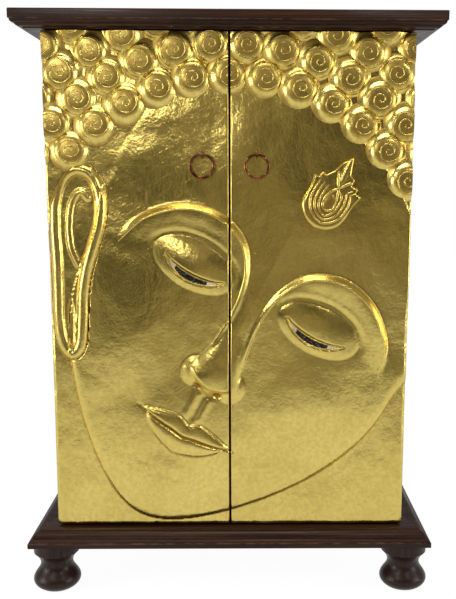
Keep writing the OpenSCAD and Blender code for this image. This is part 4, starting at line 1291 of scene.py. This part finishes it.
@dataclass
class CurlRows(OnDoor):
    """The rows of snail curls over a door, cut off at the door's edges.

    Each curl is a bun with a spiral line on it, and a skirt that runs down into its neighbours' skirts.
    """

    radius: float = 34.5
    rise: float = 9.6
    bun: float = 24.5
    pitch: float = 54.0
    row_pitch: float = 45.0
    rows: int = 7
    each: int = 26
    turns: float = 2.35
    spiral: float = 22.0
    line_r: float = 1.15
    lean: float = 4.0
    seed: int = 7
    foot: float = 5.5
    lowest: float = 634.0
    drop: float = 0.085
    rings: int = 20
    steps: int = 48
    inset: float = 0.4

    def profile(self, r: Any) -> Any:
        """Height of a curl without its line, at a distance from its middle."""
        at = (0, 0.25, 0.5, 0.66, 0.78, 0.87, 0.94, 1.0, 1.08, 1.22, 1.41)
        share = (1, 0.992, 0.962, 0.905, 0.81, 0.68, 0.54, 0.40, 0.26, 0.11, -0.12)
        return self.rise * np.interp(r / self.bun, at, share)

    def curl(self) -> Mesh:
        """One curl with its line, its axis along -Y and its foot below the hair."""
        inner = self.bun * np.sin(np.linspace(0.06, math.pi / 2, self.rings - 5))
        radii = np.concatenate([inner, np.linspace(self.bun + 1.2, self.radius, 5)])
        rows = [*zip(radii, -self.profile(radii)), (self.radius, self.foot)]
        rings = turned(rows, self.steps)[:, :, [0, 2, 1]]
        mesh = capped("curl", (0, -self.rise, 0), rings, (0, self.foot, 0), flip=True)
        # Painted shade: the disc between the spiral's turns and the skirt down to the foot are marked for the
        # leaf's darker shade colour.
        disc_shade = 0.62 * np.clip((self.spiral + 1.5 - radii) / 3, 0, 1)
        tint = np.clip(np.maximum(disc_shade, (radii - self.bun * 0.97) / 9), 0, 1)
        mark(mesh, "hollow", [0.0, *np.repeat([*tint, 1.0], self.steps), 0.0])
        mesh.shade_smooth()
        run = np.linspace(0.1, self.turns, 76)
        r, a = self.spiral * run / self.turns, 2 * math.pi * run
        path = np.stack([r * np.cos(a), -self.profile(r) - 0.15 * self.line_r, r * np.sin(a)], 1)
        return joined("curl", [mesh, swept_line("curl_line", path, self.line_r, CURL_GOLD, ends=(0.8, 0.3),
                                                sides=6)])

    def build(self) -> None:
        """Sets the curls along their rows and cuts them at the door's edges."""
        head, name = self.carving, self.side.node("hair_curls")
        tree = GeometryTree(
            f"{name}_rows", arch_radius=head.arch_r * MM, row_pitch=self.row_pitch * MM,
            curl_pitch=self.pitch * MM, rows=self.rows, each=self.each, seed=self.seed,
            lean=math.radians(self.lean),
            middle=(0.0, (self.ground - head.hair_h) * MM, (self.low.z + head.arch_z) * MM),
            low_edge=tuple(self.low * MM), high_edge=tuple(self.high * MM), margin=self.bun * 1.1 * MM,
            lowest=self.lowest * MM, drop=self.drop, finish=CURL_GOLD.material())
        each, margin = tree["Each"], tree["Margin"]
        spots = tree.out("GeometryNodePoints", {"Count": tree.times(tree["Rows"], each)})
        index = tree.out("GeometryNodeInputIndex")
        row = tree.math("FLOOR", tree.math("DIVIDE", tree.plus(index, 0.5), each))
        place = tree.minus(tree.minus(index, tree.times(row, each)), tree.times(each, 0.5))
        place = tree.plus(place, tree.times(tree.math("MODULO", row, 2.0), 0.5))
        reach = tree.plus(tree["Arch Radius"], tree.times(row, tree["Row Pitch"]))
        turn = tree.math("DIVIDE", tree.times(place, tree["Curl Pitch"]), reach)
        flat = tree.vector(tree.times(reach, tree.math("SINE", turn)), 0.0,
                           tree.times(reach, tree.math("COSINE", turn)))
        at = tree.out("ShaderNodeVectorMath", {0: flat, 1: tree["Middle"]}, operation="ADD")
        spots = tree.out("GeometryNodeSetPosition", {"Geometry": spots, "Position": at})
        x, _, z = tree.parts(at)
        low, high = tree.parts(tree["Low Edge"]), tree.parts(tree["High Edge"])
        level = tree.plus(z, tree.times(x, tree["Drop"]))
        outside = tree.math("GREATER_THAN", x, tree.plus(high[0], margin))
        for past in (tree.math("GREATER_THAN", z, tree.plus(high[2], margin)),
                     tree.math("LESS_THAN", x, tree.minus(low[0], margin)),
                     tree.math("LESS_THAN", level, tree["Lowest"])):
            outside = tree.larger(outside, past)
        spots = tree.out("GeometryNodeDeleteGeometry", {"Geometry": spots, "Selection": outside},
                         domain="POINT")
        spin = tree.random(0.0, 2 * math.pi, tree["Seed"])
        size = tree.random(0.965, 1.035, tree.plus(tree["Seed"], 1.0))
        aim = tree.spun(tree.rotation(tree["Lean"], turn, 0.0), tree.rotation(0.0, spin, 0.0))
        mesh = tree.run(name, tree.placed(spots, rotation=aim, scale=size), self.curl())
        self.cut(mesh)
        settle(name, mesh, self.body, "gold_leaf")

    def cut(self, mesh: Mesh) -> None:
        """Cuts a mesh off at the door's two sides and top, and closes the cuts."""
        planes = (((self.low.x + self.inset, 0, 0), (-1, 0, 0)),
                  ((self.high.x - self.inset, 0, 0), (1, 0, 0)),
                  ((0, 0, self.high.z - self.inset), (0, 0, 1)))
        with edited(mesh) as work:
            for point, normal in planes:
                every = [*work.verts, *work.edges, *work.faces]
                bmesh.ops.bisect_plane(work, geom=every, dist=1e-6, plane_co=Vector(point) * MM,
                                       plane_no=normal, clear_outer=True)
                rim = [e for e in work.edges if e.is_boundary]
                if rim:
                    filled = bmesh.ops.holes_fill(work, edges=rim, sides=0)["faces"]
                    bmesh.ops.triangulate(work, faces=filled)
        mesh.set_sharp_from_angle(angle=math.radians(65))


@dataclass
class FlameOrnament(OnDoor):
    """The leaning flame on the forehead: a seed in nested lines, with points to both sides and one long tip.

    P runs across the flame and Q up its lean, both from the middle of the seed.
    """

    x: float = 150.0
    z: float = 515.0
    lean: float = 24.0
    rise: float = 6.2
    bevel: float = 7.0
    step: float = 0.9
    line_r: float = 2.2
    stretch: float = 1.06
    thick: float = 4.0
    arms: tuple[float, ...] = (14.5, 21.5, 28.5)

    def __post_init__(self) -> None:
        """Draws the flame's edge, once round from its long tip, counter-clockwise."""
        super().__post_init__()
        tip = [(7, 70), (-6, 56), (-12, 42), (-17, 37), (-21, 32), (-27, 35), (-30, 26), (-37, 26)]
        lower = [(-35, 10), (-38, -12), (-33, -26), (-20, -38), (-3, -43), (15, -39), (28, -28), (34, -12)]
        right = [(36, 6), (42, 22), (32, 24), (32, 31), (22, 31), (22, 41), (14, 45), (11, 56)]
        self.edge = self.drawn(np.vstack([tip, spline(lower, 6), right]))

    def drawn(self, path: Grid) -> Grid:
        """A path drawn out along the flame, away from its foot."""
        return path * np.array([1.0, self.stretch]) + np.array([0.0, 43 * (self.stretch - 1) - 1])

    def on_door(self, p: Grid, q: Grid) -> tuple[Grid, Grid]:
        """A place of the flame on the doors."""
        c, s = math.cos(math.radians(self.lean)), math.sin(math.radians(self.lean))
        return self.x + p * c + q * s, self.z - p * s + q * c

    def lift(self, p: Grid, q: Grid) -> Grid:
        """Height of the flame over the forehead."""
        wide = self.bevel * (1 - 0.7 * smooth((q + 20) / 30))
        s = np.clip(edge_gap(p, q, self.edge) / wide, 0, 1)
        plate = self.rise * (0.22 + 0.78 * np.sqrt(1 - (1 - s) ** 2))
        seed = 1.3 * bump(np.hypot(p / 7.5, (q + 1) / 13), 0.6)
        spine = 1.6 * ridge(p - 5 - 0.02 * (q - 45), 4.5) * smooth((q - 26) / 12)
        return np.where(within(p, q, self.edge), plate + seed + spine, -2.2)

    def lines(self) -> list[tuple[Grid, bool]]:
        """Paths of the thin lines, and whether each closes on itself."""
        seed = [(3.5, 19), (-5, 11), (-9.5, 0), (-7.5, -10), (1, -14.5), (8.5, -9), (9, 1), (7, 11)]
        paths = [(seed, True)]
        for k, w in enumerate(self.arms):
            b = 15 + w * 0.78 - 4
            rows = [(-w + 3, 20 + 2.5 * k), (-w, 6), (-w, -8), (-0.68 * w, -0.72 * b), (1, -b)]
            rows += [(0.72 * w, -0.66 * b), (0.98 * w, -3), (0.96 * w, 10)]
            rows += [(0.9 * w, 18), (w + 6 - 2 * k, 27 - 2 * k)] if k else [(7, 18), (5, 22)]
            paths.append((rows, False))
        paths += [([(4, 21), (-2, 32), (-6, 44)], False), ([(5, 21), (13, 30), (20, 36)], False)]
        return [(self.drawn(spline(path, 6, closed)), closed) for path, closed in paths]

    def plate(self) -> Mesh:
        """The flame's body, let into the forehead."""
        p, q = np.meshgrid(np.arange(-42, 47, self.step), np.arange(-48, 81, self.step))
        x, z = self.on_door(p, q)
        under = self.carving.height(x, z)
        top = under + self.lift(p, q)
        points = [np.stack([x, self.ground - h, z + self.low.z], 2).reshape(-1, 3)
                  for h in (top, under - self.thick)]
        numbers = np.arange(top.size).reshape(top.shape)
        corners = (numbers[:-1, :-1], numbers[:-1, 1:], numbers[1:, 1:], numbers[1:, :-1])
        quads = np.stack(corners, 2).reshape(-1, 4)
        rim = [*numbers[0], *numbers[1:, -1], *numbers[-1, -2::-1], *numbers[-2:0:-1, 0]]
        walls = [(b, a, top.size + a, top.size + b) for a, b in zip(rim, rim[1:] + rim[:1])]
        mesh = mesh_from("flame_plate", np.vstack(points), [*quads, *(quads[:, ::-1] + top.size), *walls])
        # Painted shade: the plate between its raised lines, and each dip in its surface, is marked for the
        # leaf's darker shade colour.
        between = within(p, q, self.edge) * smooth((edge_gap(p, q, self.edge) - self.bevel * 0.6) / 3)
        between = between * smooth((26 - q) / 12)
        shade_mask = np.clip(blurred(top, round(2.4 / self.step)) - top - 0.2, 0, 1)
        mark(mesh, "hollow", [np.maximum(shade_mask, 0.85 * between), np.zeros(top.shape)])
        return dressed(mesh, 60, GOLD)

    def build(self) -> None:
        """Makes the plate and its lines."""
        meshes = [self.plate()]
        for k, (path, closed) in enumerate(self.lines()):
            x, z = self.on_door(*path.T)
            h = evened(self.carving.height(x, z) + self.lift(*path.T), 4)
            points = np.stack([x, self.ground - h + 0.1, z + self.low.z], 1)
            meshes.append(swept_line(f"flame_line_{k}", points, self.line_r, GOLD, closed=closed,
                                     ends=(1.0, 1.0) if closed else (0.35, 0.35)))
        settle("flame_ornament", joined("flame_ornament", meshes), self.body, "gold_leaf")


@dataclass
class RingPull:
    """A ring of copper wire hanging in an eye, with a small rose behind it."""

    side: Side
    steps: int = 120
    sides: int = 20
    flattening: float = 0.02

    def build(self) -> None:
        """Bends the ring, its wire a little uneven from the hand, and eases the eye's edges."""
        node = self.side.node("pull_ring")
        low, high = node_box(node)
        mid, wire = (low + high) / 2, (high.y - low.y) / 2
        reach = (high.x - low.x) / 2 - wire
        a, b = turn_steps(self.steps)[:, None], turn_steps(self.sides)
        thick = wire * (1 - self.flattening * (1 + np.sin(3 * a + 1.3 * self.side.value)))
        r = reach + thick * np.cos(b)
        points = np.stack([mid.x + r * np.cos(a), mid.y + thick * np.sin(b), mid.z + r * np.sin(a)], 2)
        mesh = mesh_from(f"{node}_wire", points.reshape(-1, 3), tube_faces(self.steps, self.sides, wrap=True))
        settle(f"{node}_wire", dressed(mesh, 180, COPPER), node, COPPER.slot, node)
        eye = self.side.node("pull_eye")
        settle_eased(f"{eye}_bolt", eye, self.side.node("door"), 0.3, COPPER)


@dataclass
class TurnedFeet:
    """Four bun feet, one turned shape set under the plinth's corners by Geometry Nodes."""

    bun_r: float = 37.5
    bun_z: float = 18.5
    sole_r: float = 14.0
    neck_r: float = 25.5
    neck_z: float = 45.0
    collar_z: float = 64.0
    collar_r: float = 36.0
    groove_depth: float = 0.8
    groove_half: float = 1.1
    edge: float = 0.5
    curve_steps: int = 14
    steps: int = 72

    def outline(self, height: float) -> list[Pair]:
        """Radius and height of the foot's rings, from its sole up."""
        t = np.arange(self.curve_steps + 1) / self.curve_steps
        start = math.acos(self.sole_r / self.bun_r)
        a, later = start * (1 - t), t[1:]
        rows = [(self.sole_r - 1, 0.0)]
        rows += zip(self.bun_r * np.cos(a), self.bun_z * (1 - np.sin(a) / math.sin(start)))
        rows += zip(self.bun_r + (self.neck_r - self.bun_r) * (1 - np.cos(math.pi * later)) / 2,
                    self.bun_z + (self.neck_z - self.bun_z) * later)
        rows += zip(self.neck_r + (self.collar_r - self.neck_r) * later**2,
                    self.neck_z + (self.collar_z - self.neck_z) * later)
        line_z = self.neck_z + (self.collar_z - self.neck_z) * 0.19
        deep, half = self.groove_depth, self.groove_half
        rows = [(r - deep * max(0.0, 1 - abs(z - line_z) / half), z) for r, z in rows]
        return rows + [(self.collar_r, self.collar_z + self.edge), (self.collar_r, height - self.edge),
                       (self.collar_r - self.edge, height)]

    def build(self) -> None:
        """Turns one foot and sets it four times."""
        nodes = [f"{word}_foot" for word in ("front_left", "front_right", "back_left", "back_right")]
        lows = [node_box(node)[0] for node in nodes]
        top = node_box("plinth_board")[0].z
        tree = GeometryTree("feet_places", across=(lows[1].x - lows[0].x) * MM,
                            along=(lows[2].y - lows[0].y) * MM, finish=TURNED_WOOD.material())
        corners = tree.out("GeometryNodeMeshGrid", {"Size X": tree["Across"], "Size Y": tree["Along"],
                                                    "Vertices X": 2, "Vertices Y": 2})
        foot = capped("foot", (0, 0, 0), turned(self.outline(top), self.steps), (0, 0, top))
        mesh = dressed(tree.run("turned_feet", tree.placed(corners), foot), 40)
        settle("turned_feet", mesh, "carcass", TURNED_WOOD.slot, *nodes)


@dataclass
class Carcass:
    """The boards of the case, each a copy of the frame's solid with its edges eased."""

    board_ease: float = 0.7
    panel_ease: float = 0.5
    back_ease: float = 0.3

    def build(self) -> None:
        """Dresses the outer boards dark and the hidden ones bare."""
        board, panel = self.board_ease, self.panel_ease
        for node, ease, finish in (
                ("top_board", board, WOOD_X), ("plinth_board", board, WOOD_X), ("left_side", panel, WOOD_Z),
                ("right_side", panel, WOOD_Z), ("top_rail", panel, WOOD_X), ("shelf", board, INNER_WOOD),
                ("left_shelf_batten", panel, WOOD_Y), ("right_shelf_batten", panel, WOOD_Y),
                ("back_panel", self.back_ease, PLY)):
            settle_eased(f"{node}_wood", node, "carcass", ease, finish)
        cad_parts["carcass_dowels"].material_slots[0].material = DOWEL_WOOD.material()


class Fastener(Enum):
    """Kinds of fastener, each with the half width and the depth of its head's slot."""

    SCREW = (0.4, 0.8)
    NAIL = (0.0, 0.0)


@dataclass
class FastenerGroup:
    """The screws or nails of one node: one detailed shape, set by Geometry Nodes where the solids are."""

    node: str
    body: str
    kind: Fastener
    steps: int = 28
    seed: int = 3
    turns: int = 7
    thread: float = 0.25
    dome_rings: int = 7

    def solids(self) -> list[tuple[Vector, Vector, float, float]]:
        """Head's middle, outward way, length and head radius of each solid of the node, in order of place."""
        found = []
        with edited(bpy.data.meshes.new(self.node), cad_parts[self.node].data) as work:
            bmesh.ops.remove_doubles(work, verts=work.verts, dist=MERGE_DISTANCE)
            left = set(work.verts)
            while left:
                group, edge = set(), [left.pop()]
                while edge:
                    vert = edge.pop()
                    group.add(vert)
                    others = {link.other_vert(vert) for link in vert.link_edges} & left
                    left -= others
                    edge += others
                found.append(self.measure([vert.co / MM for vert in group]))
        return sorted(found, key=lambda row: [round(c, 3) for c in row[0]])

    @staticmethod
    def measure(points: list[Vector]) -> tuple[Vector, Vector, float, float]:
        """Head's middle, outward direction, length and head radius of one solid, from its points."""
        low = Vector(min(p[k] for p in points) for k in range(3))
        high = Vector(max(p[k] for p in points) for k in range(3))
        size, mid = high - low, (low + high) / 2
        axis = max(range(3), key=size.__getitem__)
        radii = []
        for level in (low[axis], high[axis]):
            ring = [p - mid for p in points if abs(p[axis] - level) < 0.05]
            radii.append(max(math.hypot(*(v[k] for k in range(3) if k != axis)) for v in ring))
        way = 1 if radii[1] >= radii[0] else -1
        out = Vector((0, 0, 0))
        out[axis] = way
        head = mid.copy()
        head[axis] = high[axis] if way > 0 else low[axis]
        return head, out, size[axis], max(radii)

    def shape(self, length: float, head_r: float) -> Mesh:
        """One fastener along Z, the face of its head at z = 0.

        Args:
            length: Its whole length.
            head_r: Radius of its head.

        Returns:
            The closed mesh.
        """
        half, depth = self.kind.value
        nail = self.kind is Fastener.NAIL
        shank, dome, cut = head_r if nail else head_r * 0.53, 0.12 * head_r, 0.0 if nail else self.thread
        rows = [(head_r * k / self.dome_rings, -dome * (k / self.dome_rings) ** 2)
                for k in range(1, self.dome_rings + 1)]
        rows += [(head_r, -dome - 0.25), (shank, -dome - 0.25 - (head_r - shank))]
        start, bottom, count = rows[-1][1] - 1.5, -length + 2.5, self.turns * 2
        rows += [(shank - cut * (k % 2), start + (bottom - start) * k / count) for k in range(count + 1)]
        rows += [(shank * 0.3, -length + 0.4)]
        rings = turned(rows, self.steps)
        wide = np.array(rows)[:, :1] < head_r
        rings[(np.abs(rings[:, :, 1]) < half) & (rings[:, :, 2] > -dome - 0.1) & wide, 2] = -depth
        mesh = capped(f"{self.node}_shape", (0, 0, -depth), rings, (0, 0, -length), flip=True)
        return dressed(mesh, 40)

    def build(self) -> None:
        """Sets the shape on every solid's place."""
        name, solids = f"{self.node}_set", self.solids()
        places = mesh_from(f"{self.node}_places", [head for head, *_ in solids], [])
        aims = [c for _, out, _, _ in solids for c in out]
        places.attributes.new("aim", "FLOAT_VECTOR", "POINT").data.foreach_set("vector", aims)
        holder = new_object(f"{self.node}_holder", places)
        tree = GeometryTree(name, places=holder, seed=self.seed, finish=STEEL.material())
        spots = tree.node("GeometryNodeObjectInfo", {"Object": tree["Places"]}).outputs["Geometry"]
        aim = tree.out("GeometryNodeInputNamedAttribute", {"Name": "aim"}, data_type="FLOAT_VECTOR")
        aimed = tree.out("FunctionNodeAlignRotationToVector", {"Vector": aim}, axis="Z")
        spin = tree.random(0.0, math.pi, tree["Seed"])
        aimed = tree.spun(aimed, tree.rotation(0.0, 0.0, spin))
        _, _, length, head_r = solids[0]
        mesh = tree.run(name, tree.placed(spots, rotation=aimed), self.shape(length, head_r))
        bpy.data.objects.remove(holder)
        settle(name, mesh, self.body, STEEL.slot, self.node)


@dataclass
class Ironwork:
    """Hinges, catches and strike plates, with the screws and nails that hold them."""

    leaf_ease: float = 0.18
    case_ease: float = 0.4
    plate_ease: float = 0.2

    def build(self) -> None:
        """Dresses every metal and plastic node."""
        for side in Side:
            door = side.node("door")
            for level in ("upper", "lower"):
                for part, body in (("body_leaf", "carcass"), ("door_leaf", door), ("pin", "carcass")):
                    node = side.node(f"{level}_hinge_{part}")
                    settle_eased(f"{node}_steel", node, body, self.leaf_ease, STEEL)
            for name, rest, body, ease, finish in (
                    ("catch_case", "catch_housing", "carcass", self.case_ease, MouldedPlastic()),
                    ("catch_magnet_face", "catch_magnet", "carcass", self.plate_ease, Ferrite()),
                    ("strike", "strike_plate", door, self.plate_ease, STEEL)):
                settle_eased(side.node(name), side.node(rest), body, ease, finish)
            for rest in ("door_hinge_screws", "strike_screw"):
                FastenerGroup(side.node(rest), door, Fastener.SCREW).build()
        for name in ("batten_screws", "catch_screws", "body_hinge_screws"):
            FastenerGroup(name, "carcass", Fastener.SCREW).build()
        FastenerGroup("back_panel_nails", "carcass", Fastener.NAIL).build()


@dataclass
class Studio:
    """Floor, background, lamps and camera. The floor, the card and the lamps are in metres."""

    camera_at: Point = (26.9, -1470.1, 668.6)
    yaw: float = 0.844
    pitch: float = 8.508
    roll: float = 0.182
    lens: float = 51.77
    sensor: float = 36.0
    shift_x: float = -0.0532
    shift_y: float = 0.0017
    floor_half: float = 6.0
    card: Point = (2.6, 1.56, 3.4)
    card_dark: Colour = (0.055, 0.046, 0.032)
    card_mid: Colour = (0.43, 0.38, 0.30)
    card_pale: Colour = (0.78, 0.77, 0.73)

    def camera(self) -> None:
        """Stands the camera where the photograph was taken from."""
        yaw, pitch, roll = (math.radians(a) for a in (self.yaw, self.pitch, self.roll))
        ahead = Vector((math.sin(yaw) * math.cos(pitch), math.cos(yaw) * math.cos(pitch), -math.sin(pitch)))
        level = Vector((math.cos(yaw), -math.sin(yaw), 0))
        upright = level.cross(ahead)
        right = level * math.cos(roll) + upright * math.sin(roll)
        up = upright * math.cos(roll) - level * math.sin(roll)
        data = bpy.data.cameras.new("camera")
        data.sensor_fit = "VERTICAL"
        data.sensor_height = self.sensor
        data.lens = self.lens
        data.shift_x, data.shift_y = self.shift_x, self.shift_y
        data.clip_end = 50.0
        camera = new_object("camera", data)
        turn = Matrix((right, up, -ahead)).transposed().to_4x4()
        camera.matrix_world = Matrix.Translation(Vector(self.camera_at) * MM) @ turn
        bpy.context.scene.camera = camera

    def lamp(self, name: str, at: Point, aim: Point, size: Pair, watts: float) -> None:
        """Adds a soft rectangular lamp."""
        data = bpy.data.lights.new(name, "AREA")
        data.shape = "RECTANGLE"
        data.size, data.size_y = size
        data.energy = watts
        lamp = new_object(name, data)
        lamp.location = at
        lamp.rotation_euler = (Vector(aim) - Vector(at)).to_track_quat("-Z", "Y").to_euler()

    def sheet(self, name: str, corners: Sequence[Point], material: Material) -> Object:
        """Adds a flat sheet of the studio."""
        mesh = bpy.data.meshes.new(name)
        mesh.from_pydata(corners, [], [(0, 1, 2, 3)])
        mesh.materials.append(material)
        sheet = new_object(name, mesh)
        return sheet

    def floor_material(self) -> Material:
        """Pale floor that the camera and reflections see as white, with the object's shadow kept."""
        made, tree = blank_material("studio_floor")
        matt = tree.out("ShaderNodeBsdfDiffuse", {"Color": (0.86, 0.86, 0.86, 1)})
        path = tree.node("ShaderNodeLightPath").outputs
        camera, glossy = path["Is Camera Ray"], path["Is Glossy Ray"]
        ahead = tree.parts(tree.node("ShaderNodeTexCoord").outputs["Object"])[1]
        dimmed = tree.times(glossy, tree.scaled(ahead, -1.5, -0.5, (0.46, 0.15)))
        strength = tree.minus(tree.plus(1.05, tree.times(camera, 0.04)), dimmed)
        glow = tree.out("ShaderNodeEmission", {"Color": (1, 1, 1, 1), "Strength": strength})
        seen = tree.larger(tree.larger(camera, glossy), path["Is Transmission Ray"])
        both = tree.out("ShaderNodeMixShader", {0: tree.times(seen, 0.88), 1: matt, 2: glow})
        tree.node("ShaderNodeOutputMaterial", {"Surface": both})
        return made

    def card_material(self) -> Material:
        """Matt card in a room's soft tones, with painted light making it paler towards its left side and its
        foot, which the doors reflect above their lower third.
        """
        made, tree = blank_material("studio_card")
        where = tree.node("ShaderNodeTexCoord").outputs["Object"]
        x, _, z = tree.parts(where)
        tones = tree.scaled(tree.noise(where, 2.3, 3.0, 0.55), 0.36, 0.64)
        room = tree.mix(tones, self.card_dark, self.card_mid)
        # Painted light: the card is painted paler towards its left side and its foot, standing for light that
        # falls there.
        left = tree.times(tree.scaled(x, -1.4, -0.3, (1, 0)), 0.2)
        low = tree.times(tree.scaled(z, -0.1, 0.4, (1, 0)), 0.5)
        colour = tree.mix(tree.larger(left, low), room, self.card_pale)
        matt = tree.out("ShaderNodeBsdfDiffuse", {"Color": colour})
        tree.node("ShaderNodeOutputMaterial", {"Surface": matt})
        return made

    def world(self) -> None:
        """White to the camera and a plain grey light otherwise."""
        world = bpy.data.worlds.new("studio")
        bpy.context.scene.world = world
        world.use_nodes = True
        world.node_tree.nodes.clear()
        tree = ShaderTree(world.node_tree)
        path = tree.node("ShaderNodeLightPath").outputs
        seen = tree.larger(path["Is Camera Ray"], path["Is Transmission Ray"])
        strength = tree.plus(0.45, tree.times(seen, 0.55))
        back = tree.out("ShaderNodeBackground", {"Color": (1, 1, 1, 1), "Strength": strength})
        tree.node("ShaderNodeOutputWorld", {"Surface": back})

    def build(self) -> None:
        """Sets the whole studio up."""
        self.world()
        half = self.floor_half
        self.sheet("floor", [(-half, -half, 0), (half, -half, 0), (half, half, 0), (-half, half, 0)],
                   self.floor_material())
        wide, near, high = self.card
        card = self.sheet("grey_card", [(-wide, -near, 0.0), (-wide, -near, high), (wide, -near, high),
                                        (wide, -near, 0.0)], self.card_material())
        card.visible_camera = False
        self.lamp("overhead", (0.0, -0.7, 2.3), (0, -0.1, 0.5), (1.2, 0.5), 14)
        self.lamp("left_box", (-0.9, -1.45, 1.5), (-0.05, 0, 0.6), (0.42, 0.26), 5)
        self.lamp("right_box", (0.95, -1.45, 1.4), (0.05, 0, 0.6), (0.3, 0.2), 3)
        self.lamp("sweep_box", (-0.48, -1.5, 1.03), (-0.12, 0, 0.74), (0.42, 0.14), 1.5)
        self.lamp("left_fill", (-2.3, -1.2, 0.6), (0, 0, 0.15), (1.2, 1.0), 25)
        self.lamp("right_fill", (2.3, -1.2, 0.6), (0, 0, 0.15), (1.2, 1.0), 19)
        self.camera()
        bpy.context.scene.view_settings.view_transform = "Standard"


def main() -> None:
    """Builds every piece in order."""
    logging.basicConfig(level=logging.INFO, format="%(message)s")
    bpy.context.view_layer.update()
    carving = HeadCarving()
    Carcass().build()
    TurnedFeet().build()
    for side in Side:
        for part in (CarvedDoor, RaisedLines, CurlRows, EyeInlay):
            part(side, carving).build()
        RingPull(side).build()
    FlameOrnament(Side.RIGHT, carving).build()
    Ironwork().build()
    Studio().build()


if __name__ == "__main__":
    main()
